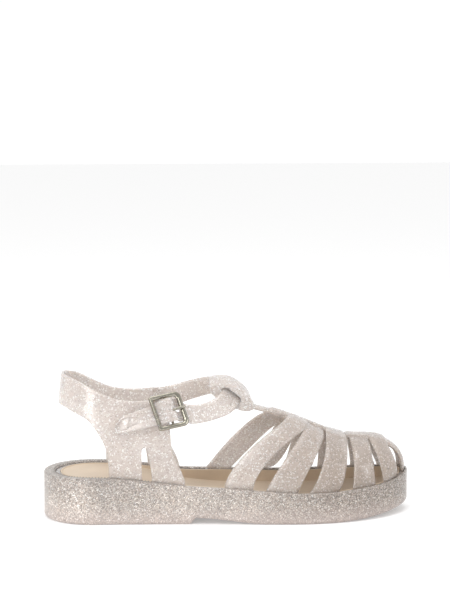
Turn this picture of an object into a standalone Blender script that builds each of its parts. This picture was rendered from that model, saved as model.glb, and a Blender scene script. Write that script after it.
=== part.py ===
"""A jelly sandal for the right foot, in metres.

The toe points along +X, up is +Z, the foot's outer side is -Y and its inner side is +Y. The origin lies on
the floor under the middle of the sole. Tables give their lengths as shares of the named sizes above them.
"""

from bisect import bisect_right
from collections import namedtuple
from math import copysign, cos, pi, sin, sqrt

import bmesh
import bpy
from mathutils import Vector

# Sole
SOLE_LENGTH = 0.254
BALL_WIDTH = 0.094
HEEL_WIDTH = 0.072
HEEL_HEIGHT = 0.0315
BALL_HEIGHT = 0.0208
TOE_RISE = 0.0075  # the rim at the toe lies this much above the rim at the ball
TOE_SPRING = 0.006
ARCH_RISE = 0.004
HEEL_ROUND = 0.036  # length over which the outline rounds the heel
TOE_ROUND = 0.078
SWING = 0.006  # how far the toe leans to the inner side
TREAD_ROUND = 0.0028
RIM_WIDTH = 0.008
RIM_ROUND = 0.0012
BED_DEPTH = 0.0088  # from the rim's top down to the insole at the waist

# Insole
INSOLE_THICKNESS = 0.0026
INSOLE_LIP = 0.0012  # thickness of its upturned edge
LIP_DROP = 0.0007  # from the rim's top down to the top of that edge

# Upper
CLEARANCE = 0.0003
WALL = 0.0022
FOOT_BAND_WALL = 0.0028
FOOT_BAND_DROP = 0.0012  # from the rim's top down to the top of the band
FOOT_SINK = FOOT_BAND_DROP + 0.002  # from the rim's top down to the ends of straps, spine and quarters
OVERLAP = 0.0014  # how far one strip is raised where it crosses another
LIFT_NEAR, LIFT_FAR = 0.20, 0.50  # angles from the ridge between which a strap's lift fades
STRAP_FOOT_WIDTH = 0.0215
SPINE_WIDTH = 0.0102
SPINE_TOE_WIDTH = 0.0220
SPINE_SPREAD = (0.74, 0.96)  # places along the sole between which it widens to the toe
SPINE_ARCH = 0.080  # radius over which it bends across the ridge
TOE_ARCH = 0.034  # and across the front of the toe
SPINE_TUCK = 0.0076  # how far the spine reaches back under the tunnel's front
SPINE_SINK = 0.0005  # how far its inner face lies inside the straps'
SPINE_RAMP = 0.004  # length over which it rises onto a strap that passes under it
COLLAR_HEIGHT = 0.0695  # heel band's top above the rim at the heel
INSTEP_RISE = 0.0522  # the ridge's highest stretch above the rim at the ball
TOE_CURL = 0.022  # length over which the ridge falls to the toe
ANKLE_WIDTH = 0.0485
QUARTER_SPAN = 0.098  # from the back of the sole to the quarters' front edge

# Strap tunnel at the rear of the spine
TUNNEL_LENGTH = 0.0315
TUNNEL_RISE = 0.0213
TUNNEL_WIDTH = 0.016
TUNNEL_OPENING = 0.0060
TUNNEL_PLAY = 0.0013  # room beyond each edge of the strap
TUNNEL_ARCH = 0.030  # radius over which it bends across the instep
TUNNEL_LEAN = 0.25  # slope at which it leans to the outer side
TUNNEL_FOOT = 0.575  # place along the sole where its front ends on the ridge
TUNNEL_TAPER = 0.45  # share of its length over which it narrows to the spine

# Ankle strap and buckle
STRAP_WIDTH = 0.0138
STRAP_WALL = 0.0020
STRAP_TIP_LENGTH = 0.0365
BUCKLE_LENGTH = 0.0235
BUCKLE_HEIGHT = 0.0250
BUCKLE_DEPTH = 0.0026
BUCKLE_FRONT_BAR = 0.0034
BUCKLE_REAR_BAR = 0.0025
BUCKLE_SIDE_BAR = 0.0030
BUCKLE_FRONT_CORNER = 0.0042
BUCKLE_REAR_CORNER = 0.0014
HINGE_RADIUS = 0.0009
HINGE_DROP = 0.0007  # the hinge bar's middle lies this far below the frame's
KNUCKLE_WALL = 0.0010
KNUCKLE_LENGTH = 0.0044
KNUCKLE_PLAY = 1.2 * CLEARANCE  # room round the hinge in a knuckle or in the prong's eye
KEEPER_INSET = 0.0004  # how far the keeper's edges lie inside the knuckles' ends
KEEPER_ROOT, KEEPER_BEND = 0.0140, 0.0090  # from the hinge back to where the keeper leaves the quarter
KEEPER_NECK = 0.0022  # from the hinge back to where it runs straight
SLOT_REACH = 0.0045  # how far the prong's slot in the keeper reaches from the hinge
HOLE_START, HOLE_END = 0.0010, 0.0090  # the prong's hole in the strap, from the hinge forward
PRONG_WIDTH = 0.0020
PRONG_WALL = 0.0008
PRONG_REACH = 0.0012  # how far the prong's tip passes the front bar's middle

# a strip's section: shares of its half width and of its wall
STRIP_OUTSIDE = ((-1.0, 0.40), (-0.78, 0.88), (0.0, 1.0), (0.78, 0.88), (1.0, 0.40))
STRIP_INSIDE = ((0.84, 0.0), (0.0, 0.0), (-0.84, 0.0))
UNDER_SINK = 0.0003  # how far the straps that pass under reach further inward than those that pass over

OUTER, INNER = -1, 1
SECTION_POWER = 2.2  # how full the sections across the foot are
CURL_POWER = 2.7  # how full the toe's profile is
END_POWER = 2.3  # how full the outline's rounded ends are
BACK_POWER = 2.25  # how full the heel band's round back is
BACK_TURN = 0.86  # how far it reaches forward, as a share of the heel's rounding
BACK_START = 0.12  # place along the sole up to which it has the lining's width there
CUT_SPARE = 1.04  # how much larger the rear wall is than the outline that trims it
MILLIMETRE = 0.001

SoleRow = namedtuple("SoleRow", "along spread swing heel toe rim bed")
SOLE_ROWS = (
    # share of the length, of the way from heel width to ball width, of the swing, of the heel's extra height,
    # of the toe's rise, of the rim's width and of the insole's depth
    SoleRow(0.00, 0.00, 0.00, 1.00, 0.00, 1.00, 0.16),
    SoleRow(0.17, 0.02, -0.05, 1.00, 0.00, 0.80, 0.16),
    SoleRow(0.28, 0.02, -0.25, 0.78, 0.00, 0.62, 0.30),
    SoleRow(0.38, 0.06, -0.45, 0.50, 0.00, 0.55, 0.72),
    SoleRow(0.48, 0.28, -0.50, 0.37, 0.00, 0.50, 1.00),
    SoleRow(0.58, 0.65, -0.35, 0.20, 0.00, 0.47, 1.00),
    SoleRow(0.68, 0.95, -0.10, 0.05, 0.00, 0.44, 1.00),
    SoleRow(0.76, 1.02, 0.15, 0.00, 0.06, 0.42, 1.00),
    SoleRow(0.86, 1.02, 0.50, 0.00, 0.26, 0.38, 0.97),
    SoleRow(0.94, 1.00, 0.80, 0.00, 0.52, 0.26, 0.93),
    SoleRow(1.00, 0.98, 1.00, 0.00, 1.00, 0.17, 0.90),
)
ARCH_START, ARCH_STEP, ARCH_END = 0.385, 0.404, 0.60
SPRING_START = 0.76

RidgeRow = namedtuple("RidgeRow", "along rise")
RIDGE_ROWS = (
    RidgeRow(0.49, 1.10),
    RidgeRow(0.545, 1.035),
    RidgeRow(0.60, 0.962),
    RidgeRow(0.64, 0.900),
    RidgeRow(0.70, 0.79),
    RidgeRow(0.763, 0.66),
    RidgeRow(0.80, 0.60),
    RidgeRow(0.835, 0.565),
    RidgeRow(0.87, 0.552),
    RidgeRow(0.90, 0.548),
    RidgeRow(0.94, 0.52),
    RidgeRow(1.00, 0.47),
)

VampStrap = namedtuple("VampStrap", "name outer_foot top inner_foot foot middle peak lean inner_lean over")
VAMP_STRAPS = (
    # places along the sole's length, widths at foot, middle and top as shares of the straps' foot width, lean
    # above 1 for a strap that rises steeply first
    VampStrap("rear", 0.519, 0.690, 0.582, 0.90, 0.80, 0.70, 1.50, 0.45, True),
    VampStrap("second", 0.634, 0.737, 0.702, 1.00, 0.84, 0.62, 1.10, 0.35, False),
    VampStrap("third", 0.747, 0.795, 0.809, 0.95, 0.78, 0.70, 0.65, 1.50, True),
    VampStrap("fourth", 0.859, 0.861, 0.893, 0.78, 0.66, 0.63, 1.80, 1.40, False),
    VampStrap("toe", 0.937, 0.911, 0.953, 0.52, 0.58, 0.56, 2.00, 1.30, True),
)
INSTEP_STRAP = VampStrap("instep", 0.0, 0.655, 0.484, 0.84, 0.90, 0.68, 1.25, 0.95, False)

BackRow = namedtuple("BackRow", "up back width")
BACK_ROWS = (
    # height above the heel's rim as a share of the collar's, the heel's inset from the sole's end in shares
    # of the rim's width, and the weight of the ankle's width against the sole's
    BackRow(-0.20, 1.32, 0.00),
    BackRow(0.00, 1.32, 0.00),
    BackRow(0.35, 1.32, 0.12),
    BackRow(0.55, 1.46, 0.40),
    BackRow(0.75, 1.60, 0.80),
    BackRow(1.00, 1.86, 1.00),
    BackRow(1.10, 2.00, 1.02),
)

EdgePoint = namedtuple("EdgePoint", "along up")
# side outline of the quarters: along as a share of the quarters' span, up as a share of the collar's height
QUARTER_TOP = (
    EdgePoint(-0.06, 0.99),
    EdgePoint(0.115, 0.985),
    EdgePoint(0.225, 0.945),
    EdgePoint(0.31, 0.885),
    EdgePoint(0.39, 0.825),
    EdgePoint(0.50, 0.765),
    EdgePoint(0.62, 0.745),
    EdgePoint(0.74, 0.750),
    EdgePoint(0.80, 0.755),
)
QUARTER_FRONT = (
    EdgePoint(0.852, 0.70),
    EdgePoint(0.868, 0.58),
    EdgePoint(0.874, 0.42),
    EdgePoint(0.884, 0.27),
    EdgePoint(0.915, 0.15),
    EdgePoint(0.950, 0.05),
    EdgePoint(0.975, -0.06),
    EdgePoint(0.975, -0.175),
)
FRONT_LEG_REAR = (
    EdgePoint(0.746, -0.175),
    EdgePoint(0.746, -0.04),
    EdgePoint(0.734, 0.10),
    EdgePoint(0.712, 0.262),
)
REAR_LEG_FRONT = (
    EdgePoint(0.674, 0.262),
    EdgePoint(0.674, 0.10),
    EdgePoint(0.678, -0.04),
    EdgePoint(0.678, -0.175),
)
REAR_LEG_REAR = (
    EdgePoint(0.447, -0.175),
    EdgePoint(0.447, 0.02),
    EdgePoint(0.441, 0.17),
    EdgePoint(0.419, 0.31),
    EdgePoint(0.365, 0.45),
    EdgePoint(0.301, 0.56),
    EdgePoint(0.205, 0.63),
    EdgePoint(0.115, 0.68),
    EdgePoint(-0.06, 0.72),
)

RingRow = namedtuple("RingRow", "top_x top_y top_z low_x low_y low_z width")
# the ankle strap's two edges from the outer side over the instep to the inner quarter, as shares of the
# quarters' span (x, from the quarters' front edge), the ankle's half width (y) and the collar's height (z),
# and its width as a share of the strap's, laid off on the line between the two
RING_ROWS = (
    RingRow(0.130, -0.895, 0.701, 0.170, -1.100, 0.511, 1.06),
    RingRow(0.225, -0.820, 0.688, 0.295, -0.985, 0.528, 0.99),
    RingRow(0.325, -0.70, 0.722, 0.435, -0.80, 0.582, 1.07),
    RingRow(0.395, -0.36, 0.785, 0.520, -0.39, 0.650, 1.12),
    RingRow(0.405, 0.00, 0.852, 0.530, 0.00, 0.712, 1.13),
    RingRow(0.378, 0.34, 0.880, 0.492, 0.40, 0.733, 1.10),
    RingRow(0.310, 0.62, 0.882, 0.405, 0.74, 0.717, 1.09),
    RingRow(0.185, 0.88, 0.833, 0.245, 0.99, 0.648, 1.04),
    RingRow(0.060, 1.02, 0.778, 0.100, 1.12, 0.563, 1.13),
    RingRow(-0.070, 1.075, 0.748, -0.050, 1.15, 0.430, 1.61),
)
RING_CREST = 4  # the row at the tunnel
RING_HOLD = 0.85  # beyond this share of the ankle's half width the tunnel doesn't move the strap
RING_FRONT = 0.85  # where the rows' x starts, as a share of the quarters' span
TUNNEL_SEAT = EdgePoint(0.462, 0.555)  # the strap's middle in the tunnel: shares of its length and rise
TUNNEL_SHAPE = (
    EdgePoint(1.00, 0.10),
    EdgePoint(0.935, 0.29),
    EdgePoint(0.885, 0.47),
    EdgePoint(0.80, 0.64),
    EdgePoint(0.65, 0.82),
    EdgePoint(0.47, 0.96),
    EdgePoint(0.30, 1.00),
    EdgePoint(0.10, 0.98),
    EdgePoint(0.00, 0.88),
    EdgePoint(0.02, 0.71),
    EdgePoint(0.15, 0.52),
    EdgePoint(0.34, 0.35),
    EdgePoint(0.58, 0.17),
    EdgePoint(0.84, 0.03),
)

# the buckle frame's section: shares of the way from its outer to its inner outline and of its half depth
FRAME_SECTION = (
    (0.0, -0.45), (0.0, 0.45), (0.22, 1.0), (0.62, 1.0), (1.0, 0.35), (1.0, -0.45), (0.7, -1.0), (0.25, -1.0),
)
# the strap's free tip: shares of the way from its end to the buckle, and of the strap's width
STRAP_TIP = ((0.0, 0.34), (0.07, 0.66), (0.18, 0.90), (0.34, 1.0), (0.50, 1.02))
# its way under the buckle's bars and over the hinge: shares of the buckle's length, its rise and its width
STRAP_WAVE = (
    (-0.50, 0.0, 1.02),
    (-0.40, 0.02, 1.08),
    (-0.24, 0.42, 1.20),
    (-0.10, 0.93, 1.22),
    (0.0, 1.0, 1.22),
    (0.10, 0.93, 1.22),
    (0.20, 0.42, 1.22),
    (0.325, 0.02, 1.20),
    (0.50, 0.0, 1.12),
)
TIP_FALL = 0.0105  # the tip's end lies this far below the buckle's middle
TIP_NEAR = 0.28  # share of that fall that is left at the buckle
TIP_LEAN = 0.25  # how far its width leans along the shoe
TIP_STAND = 0.004  # how far the strap stands off the quarter near the buckle
BUCKLE_PLACE = EdgePoint(0.866, 0.655)
BUCKLE_STAND = 0.0045  # from the quarter's inner face out to the buckle's middle
BUCKLE_ALONG = Vector((0.905, 0.410, 0.110))
BUCKLE_UP = Vector((-0.270, 0.430, 0.860))


def mix(a, b, share):
    """Return the value a share of the way from a to b."""
    return a + (b - a) * share


def ease(value, low, high):
    """Rise smoothly from 0 at low to 1 at high."""
    share = min(max((value - low) / (high - low), 0.0), 1.0)
    return share * share * (3 - 2 * share)


def smooth(rows, column, place, key="along"):
    """Read a column at a place on a smooth curve through a table's rows."""
    places = [getattr(row, key) for row in rows]
    values = [getattr(row, column) for row in rows]
    place = min(max(place, places[0]), places[-1])
    at = min(bisect_right(places, place), len(rows) - 1) - 1
    slopes = []
    for i in (at, at + 1):
        before, after = max(i - 1, 0), min(i + 1, len(rows) - 1)
        slopes.append((values[after] - values[before]) / (places[after] - places[before]))
    step = places[at + 1] - places[at]
    t = (place - places[at]) / step
    return (
        values[at] * (1 + 2 * t) * (1 - t) ** 2
        + slopes[0] * step * t * (1 - t) ** 2
        + values[at + 1] * t * t * (3 - 2 * t)
        + slopes[1] * step * t * t * (t - 1)
    )


def smooth_path(points, steps):
    """Return a Catmull-Rom curve through the points, with so many steps between each two."""
    path = []
    last = len(points) - 1
    for i in range(last):
        a, b = points[max(i - 1, 0)], points[i]
        c, d = points[i + 1], points[min(i + 2, last)]
        for j in range(steps):
            t = j / steps
            bend, twist = 2 * a - 5 * b + 4 * c - d, 3 * b - a - 3 * c + d
            path.append(0.5 * (2 * b + (c - a) * t + bend * t**2 + twist * t**3))
    path.append(points[last].copy())
    return path


# Sole's shape
def sole_x(along):
    """Return x at a share of the sole's length from the heel."""
    return (along - 0.5) * SOLE_LENGTH


def along_of(x):
    """Return the share of the sole's length at x."""
    return x / SOLE_LENGTH + 0.5


def edge_width(along):
    """Return the outline's half width, rounded to nothing at both ends."""
    half = mix(HEEL_WIDTH, BALL_WIDTH, smooth(SOLE_ROWS, "spread", along)) / 2
    heel = min(along * SOLE_LENGTH / HEEL_ROUND, 1.0)
    toe = min((1 - along) * SOLE_LENGTH / TOE_ROUND, 1.0)
    return half * sqrt(1 - (1 - heel) ** END_POWER) * sqrt(max(1 - (1 - toe) ** END_POWER, 0.0))


def rim_height(along):
    """Return the height of the rim's top."""
    heel = (HEEL_HEIGHT - BALL_HEIGHT) * smooth(SOLE_ROWS, "heel", along)
    return BALL_HEIGHT + heel + TOE_RISE * smooth(SOLE_ROWS, "toe", along)


def underside(along):
    """Return the height of the sole's underside: flat, the arch's recess and the toe spring."""
    recess = ease(along, ARCH_START, ARCH_STEP) * (1 - ease(along, ARCH_STEP, ARCH_END))
    spring = max((along - SPRING_START) / (1 - SPRING_START), 0.0) ** 2
    return ARCH_RISE * recess + TOE_SPRING * spring


def rim_width(along):
    """Return the rim's width."""
    return RIM_WIDTH * smooth(SOLE_ROWS, "rim", along)


def bed_depth(along):
    """Return how deep the insole's top lies below the rim's top."""
    return BED_DEPTH * smooth(SOLE_ROWS, "bed", along)


def recess_floor(along):
    """Return the height of the recess's floor under the insole."""
    return rim_height(along) - bed_depth(along) - INSOLE_THICKNESS - CLEARANCE


def stations(count):
    """Return places along the shoe, close together at both ends, with two more at the arch's step."""
    places = [(1 - cos(pi * i / count)) / 2 for i in range(count + 1)]
    return sorted(places + [ARCH_START, ARCH_STEP])


def outline(places):
    """Return the outline's points as (place, point, inward normal), heel, outer side, toe, inner side."""
    order = [(place, OUTER) for place in places] + [(place, INNER) for place in places[-2:0:-1]]
    points = []
    for place, side in order:
        lean = SWING * smooth(SOLE_ROWS, "swing", place)
        points.append(Vector((sole_x(place), lean + side * edge_width(place))))
    middle = (max(p.y for p in points) + min(p.y for p in points)) / 2
    points = [p - Vector((0, middle)) for p in points]
    found = []
    for i, (place, _) in enumerate(order):
        run = points[(i + 1) % len(points)] - points[i - 1]
        found.append((place, points[i], Vector((-run.y, run.x)).normalized()))
    return found


def ring(edge, inset, height):
    """Return a closed loop at an inset and a height, each a function of the place along the shoe."""
    return [Vector((*(point + inward * inset(place)), height(place))) for place, point, inward in edge]


EDGE = outline(stations(30))
LINING_INSET = CLEARANCE + FOOT_BAND_WALL - 0.35 * MILLIMETRE


def lining_sides():
    """Return the upper's inner line at the rim, a list of points for each side, heel to toe."""
    points = ring(EDGE, lambda a: rim_width(a) + LINING_INSET, lambda a: 0.0)
    half = len(points) // 2
    return {OUTER: points[: half + 1], INNER: [points[0]] + points[: half - 1 : -1]}


LINING = lining_sides()
LINING_TIP = LINING[OUTER][-1].x


def lining_y(x, side):
    """Return the inner line's y at x."""
    line = LINING[side]
    for a, b in zip(line, line[1:]):
        if a.x <= x <= b.x:
            return mix(a.y, b.y, (x - a.x) / max(b.x - a.x, 1e-9))
    return line[-1].y


# Vamp's shape
def ridge_height(x):
    """Return the height of the vamp's inner face along its ridge."""
    line = BALL_HEIGHT + INSTEP_RISE * smooth(RIDGE_ROWS, "rise", along_of(x))
    base = rim_height(along_of(x))
    curl = min(max((x - LINING_TIP + TOE_CURL) / TOE_CURL, 0.0), 1.0)
    return base + (line - base) * (1 - curl**CURL_POWER) ** (1 / CURL_POWER)


def ridge_y(x):
    """Return the ridge's y, midway at the ankle and at the lining's tip at the toe."""
    return LINING[OUTER][-1].y * ease(x, 0.0, LINING_TIP)


def vamp_point(x, angle):
    """Return a point of the vamp's inner face, angle 0 at the outer rim and pi at the inner rim."""
    x = min(x, LINING_TIP - 0.05 * MILLIMETRE)
    across, rise = cos(angle), max(sin(angle), 0.0)
    side = OUTER if across > 0 else INNER
    middle = ridge_y(x)
    reach = abs(lining_y(x, side) - middle)
    y = middle + side * reach * abs(across) ** (2 / SECTION_POWER)
    base = rim_height(along_of(x))
    return Vector((x, y, mix(base, ridge_height(x), rise ** (2 / SECTION_POWER))))


def vamp_normal(x, angle):
    """Return the outward normal of the vamp's inner face."""
    x = min(x, LINING_TIP - 0.8 * MILLIMETRE)
    angle = min(max(angle, 0.03), pi - 0.03)
    run = vamp_point(x + 0.3 * MILLIMETRE, angle) - vamp_point(x - 0.3 * MILLIMETRE, angle)
    turn = vamp_point(x, angle + 0.02) - vamp_point(x, angle - 0.02)
    return run.cross(turn).normalized()


# Rear part's shape
def rear_point(x, side, height):
    """Return a point of the heel band's and quarters' inner face at x and a height."""
    up = (height - HEEL_HEIGHT) / COLLAR_HEIGHT
    back = rear_back(height)
    weight = smooth(BACK_ROWS, "width", up, "up")
    wide = abs(lining_y(max(x, sole_x(BACK_START)), side))
    width = mix(wide, ANKLE_WIDTH / 2, weight)
    turn = back + HEEL_ROUND * BACK_TURN
    bend = min(max((turn - x) / (turn - back), 0.0), 1.0)
    return Vector((x, side * width * (1 - bend**BACK_POWER) ** (1 / BACK_POWER), height))


def rear_back(height):
    """Return x of the heel band's inner face at the back."""
    up = (height - HEEL_HEIGHT) / COLLAR_HEIGHT
    return -SOLE_LENGTH / 2 + RIM_WIDTH * smooth(BACK_ROWS, "back", up, "up")


def quarter_place(point):
    """Return an edge point of the quarters' side outline in metres, as (x, z)."""
    return Vector((-SOLE_LENGTH / 2 + point.along * QUARTER_SPAN, HEEL_HEIGHT + point.up * COLLAR_HEIGHT))


# Mesh helpers
def clear_scene():
    """Remove every object of the open scene."""
    for thing in list(bpy.data.objects):
        bpy.data.objects.remove(thing, do_unlink=True)


def finish(name, mesh_data):
    """Make an object of a bmesh, with its faces pointing out."""
    bmesh.ops.recalc_face_normals(mesh_data, faces=mesh_data.faces)
    mesh = bpy.data.meshes.new(name)
    mesh_data.to_mesh(mesh)
    mesh_data.free()
    thing = bpy.data.objects.new(name, mesh)
    bpy.context.collection.objects.link(thing)
    return thing


def ladder(mesh_data, loop):
    """Close an outline loop with a rung between each pair of points across the shoe."""
    half = len(loop) // 2
    for i in range(half):
        corners = [loop[i], loop[i + 1], loop[-i - 1], loop[-i % len(loop)]]
        kept = list(dict.fromkeys(corners))
        mesh_data.faces.new(kept)


def stack(name, loops):
    """Make a solid of outline loops from the bottom to the top, closed by rungs at both ends."""
    bm = bmesh.new()
    made = [[bm.verts.new(point) for point in loop] for loop in loops]
    for low, high in zip(made, made[1:]):
        for i in range(len(low)):
            bm.faces.new((low[i - 1], low[i], high[i], high[i - 1]))
    ladder(bm, made[0])
    ladder(bm, made[-1])
    return finish(name, bm)


def sweep(name, sections, closed=False):
    """Make a solid of sections with equal point counts, with flat ends unless it closes on itself."""
    bm = bmesh.new()
    made = [[bm.verts.new(point) for point in section] for section in sections]
    pairs = list(zip(made, made[1:])) + ([(made[-1], made[0])] if closed else [])
    for a, b in pairs:
        for i in range(len(a)):
            bm.faces.new((a[i - 1], a[i], b[i], b[i - 1]))
    if not closed:
        bm.faces.new(made[0])
        bm.faces.new(made[-1])
    return finish(name, bm)


def prism(name, side_outline, half_depth):
    """Make a solid of a side outline in x and z, reaching as far to both sides."""
    sections = [[Vector((p.x, y, p.y)) for p in side_outline] for y in (-half_depth, half_depth)]
    return sweep(name, sections)


def tube(name, start, end, radius, sides=10):
    """Make a round bar between two points."""
    axis = (end - start).normalized()
    first = axis.orthogonal().normalized()
    second = axis.cross(first)
    sections = []
    for centre in (start, end):
        turns = [2 * pi * i / sides for i in range(sides)]
        sections.append([centre + (first * cos(t) + second * sin(t)) * radius for t in turns])
    return sweep(name, sections)


def combine(base, others, operation):
    """Apply one Boolean operation after another to a solid and remove the solids used.

    The exact solver leaves open edges where thin strips run almost flat on each other.
    """
    for other in others:
        step = base.modifiers.new(operation.title(), "BOOLEAN")
        step.operation = operation
        step.solver = "MANIFOLD"
        step.object = other
        depsgraph = bpy.context.evaluated_depsgraph_get()
        mesh = bpy.data.meshes.new_from_object(base.evaluated_get(depsgraph))
        base.modifiers.clear()
        old, base.data = base.data, mesh
        bpy.data.meshes.remove(old)
        bpy.data.objects.remove(other, do_unlink=True)
    return base


def band_section(centre, across, outward, half_width, wall):
    """Return a rounded strip's section: domed outside, flat inside, soft edges."""
    points = [centre + across * half_width * k + outward * wall * t for k, t in STRIP_OUTSIDE]
    return points + [centre + across * half_width * k for k, _ in STRIP_INSIDE]


# Sole and insole
def make_sole():
    """Make the outsole with its rim, recess, arch and toe spring."""

    def level(inset, height):
        return ring(EDGE, inset, height)

    def rounding(place):
        return min(RIM_ROUND, 0.35 * rim_width(place))

    loops = [
        level(lambda a: TREAD_ROUND, underside),
        level(lambda a: TREAD_ROUND * 0.3, lambda a: underside(a) + TREAD_ROUND * 0.3),
        level(lambda a: 0.0, lambda a: underside(a) + TREAD_ROUND),
        level(lambda a: 0.0, lambda a: rim_height(a) - rounding(a)),
        level(lambda a: rounding(a) * 0.3, lambda a: rim_height(a) - rounding(a) * 0.3),
        level(rounding, rim_height),
        level(lambda a: rim_width(a) - rounding(a) * 0.8, rim_height),
        level(rim_width, lambda a: rim_height(a) - rounding(a) * 0.8),
        level(rim_width, recess_floor),
    ]
    return stack("sole", loops)


def make_insole():
    """Make the insole, a tray with an upturned edge that lies inside the upper's foot band."""

    def side(place):
        return rim_width(place) + CLEARANCE * 2 + FOOT_BAND_WALL

    def under(place):
        return recess_floor(place) + CLEARANCE

    def lip(place):
        return rim_height(place) - LIP_DROP

    loops = [
        ring(EDGE, side, under),
        ring(EDGE, side, lip),
        ring(EDGE, lambda a: side(a) + INSOLE_LIP, lip),
        ring(EDGE, lambda a: side(a) + INSOLE_LIP, lambda a: under(a) + INSOLE_THICKNESS),
    ]
    return stack("insole", loops)


# Upper
def foot_band():
    """Make the band that joins the straps' feet in the recess, between rim and insole."""

    def out(place):
        return rim_width(place) + CLEARANCE

    def into(place):
        return out(place) + FOOT_BAND_WALL

    def low(place):
        return recess_floor(place) + CLEARANCE

    def high(place):
        return rim_height(place) - FOOT_BAND_DROP

    loops = [ring(EDGE, out, low), ring(EDGE, out, high), ring(EDGE, into, high), ring(EDGE, into, low)]
    return sweep("foot_band", list(zip(*loops)), closed=True)


def strap_width(strap, rise):
    """Return a vamp strap's width along the foot at a share of its height."""
    bulge = strap.middle - (strap.foot + strap.peak) / 2
    return STRAP_FOOT_WIDTH * (mix(strap.foot, strap.peak, rise) + 4 * rise * (1 - rise) * bulge)


def vamp_strap(strap, first, last, steps):
    """Make one strap of the vamp between two angles, with feet below the rim where it ends there."""
    sections = []
    for step in range(-1, steps + 2):
        if (step < 0 and first > 0) or (step > steps and last < pi):
            continue
        angle = mix(first, last, min(max(step / steps, 0.0), 1.0))
        rise = max(sin(angle), 0.0) ** (2 / SECTION_POWER)
        foot = strap.outer_foot if angle < pi / 2 else strap.inner_foot
        lean = strap.lean if angle < pi / 2 else strap.inner_lean
        place = mix(foot, strap.top, rise**lean)
        half = strap_width(strap, rise) / 2
        lift = OVERLAP * (1 - ease(abs(angle - pi / 2), LIFT_NEAR, LIFT_FAR)) if strap.over else 0.0
        sink = 0.0 if strap.over else -UNDER_SINK
        drop = FOOT_SINK if step < 0 or step > steps else 0.0
        section = []
        for across, out in STRIP_OUTSIDE + STRIP_INSIDE:
            x = min(sole_x(place) + across * half, LINING_TIP - MILLIMETRE)
            raised = WALL * out + lift if out else sink
            section.append(vamp_point(x, angle) + vamp_normal(x, angle) * raised - Vector((0, 0, drop)))
        sections.append(section)
    return sweep(strap.name, sections)


def spine_lift(x):
    """Return how far the spine is raised at x, over the straps that pass under it."""
    lift = 0.0
    for strap in (*VAMP_STRAPS, INSTEP_STRAP):
        if not strap.over:
            reach = STRAP_FOOT_WIDTH * strap.peak / 2
            off = abs(x - sole_x(strap.top))
            lift = max(lift, 1 - ease(off, reach, reach + SPINE_RAMP))
    return OVERLAP * lift


def spine_path():
    """Return the spine's centre line on the inner face, as points from the tunnel to below the toe's rim."""
    start, turn = sole_x(TUNNEL_FOOT) - SPINE_TUCK, LINING_TIP - TOE_CURL
    points = [mix(start, turn, i / 11) for i in range(12)]
    path = [Vector((x, ridge_y(x), ridge_height(x))) for x in points]
    for i in range(1, 8):
        x = turn + TOE_CURL * sin(pi / 2 * i / 7) ** (2 / CURL_POWER)
        path.append(Vector((x, ridge_y(x), ridge_height(x))))
    path.append(path[-1] - Vector((0, 0, FOOT_SINK)))
    return path


def spine_section(centre, outward, half, wall):
    """Return the spine's section, bent across the ridge and round the toe's front."""
    arch = mix(SPINE_ARCH, TOE_ARCH, max(outward.x, 0.0))
    section = []
    for across, out in STRIP_OUTSIDE + STRIP_INSIDE:
        reach = half * across
        raised = wall * out if out else -SPINE_SINK
        section.append(centre + Vector((0, -reach, 0)) + outward * (raised - reach * reach / (2 * arch)))
    return section


def make_spine():
    """Make the strip along the ridge, from the tunnel over the toe down to the foot band."""
    path = spine_path()
    sections = []
    for i, point in enumerate(path):
        run = path[min(i + 1, len(path) - 1)] - path[max(i - 1, 0)]
        outward = Vector((-run.z, 0, run.x)).normalized()
        spread = ease(along_of(point.x), *SPINE_SPREAD)
        half = mix(SPINE_WIDTH, SPINE_TOE_WIDTH, spread) / 2
        sections.append(spine_section(point, outward, half, WALL + spine_lift(point.x)))
    return sweep("spine", sections)


def rear_wall():
    """Make the wall of heel band and quarters, before its side outline is cut."""
    top = HEEL_HEIGHT + COLLAR_HEIGHT * CUT_SPARE
    front = -SOLE_LENGTH / 2 + QUARTER_SPAN * CUT_SPARE
    inner, outer = [], []
    for share in (0.0, 0.08, 0.18, 0.30, 0.42, 0.54, 0.66, 0.78, 0.88, 1.0):
        back = rear_back(mix(HEEL_HEIGHT - FOOT_SINK, top, share))
        line = []
        for side, steps in ((OUTER, range(14, -1, -1)), (INNER, range(1, 15))):
            for step in steps:
                x = mix(back, front, 1 - cos(pi / 2 * step / 14))
                line.append(rear_point(x, side, mix(rim_height(along_of(x)) - FOOT_SINK, top, share)))
        inner.append(line)
        outer.append([point + level_outward(line, i) * WALL for i, point in enumerate(line)])
    sections = []
    for i in range(len(inner[0])):
        inside = [line[i] for line in inner]
        outside = [line[i] for line in outer]
        sections.append(inside + outside[::-1])
    return sweep("rear_wall", sections)


def level_outward(line, i):
    """Return the level outward normal of a rear line at one of its points."""
    run = line[min(i + 1, len(line) - 1)] - line[max(i - 1, 0)]
    return Vector((-run.y, run.x, 0)).normalized()


def quarter_outline():
    """Return the closed side outline of heel band, quarters and legs."""
    top = smooth_path([quarter_place(p) for p in (*QUARTER_TOP, *QUARTER_FRONT)], 2)
    slot = smooth_path([quarter_place(p) for p in FRONT_LEG_REAR], 2)
    crown_left, crown_right = quarter_place(REAR_LEG_FRONT[0]), quarter_place(FRONT_LEG_REAR[-1])
    middle, radius = (crown_left + crown_right) / 2, (crown_right - crown_left).length / 2
    crown = [middle + Vector((cos(pi * i / 5), sin(pi * i / 5))) * radius for i in range(1, 5)]
    rear_front = smooth_path([quarter_place(p) for p in REAR_LEG_FRONT], 2)
    rear = smooth_path([quarter_place(p) for p in REAR_LEG_REAR], 2)
    return top + slot + crown + rear_front + rear


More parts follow.
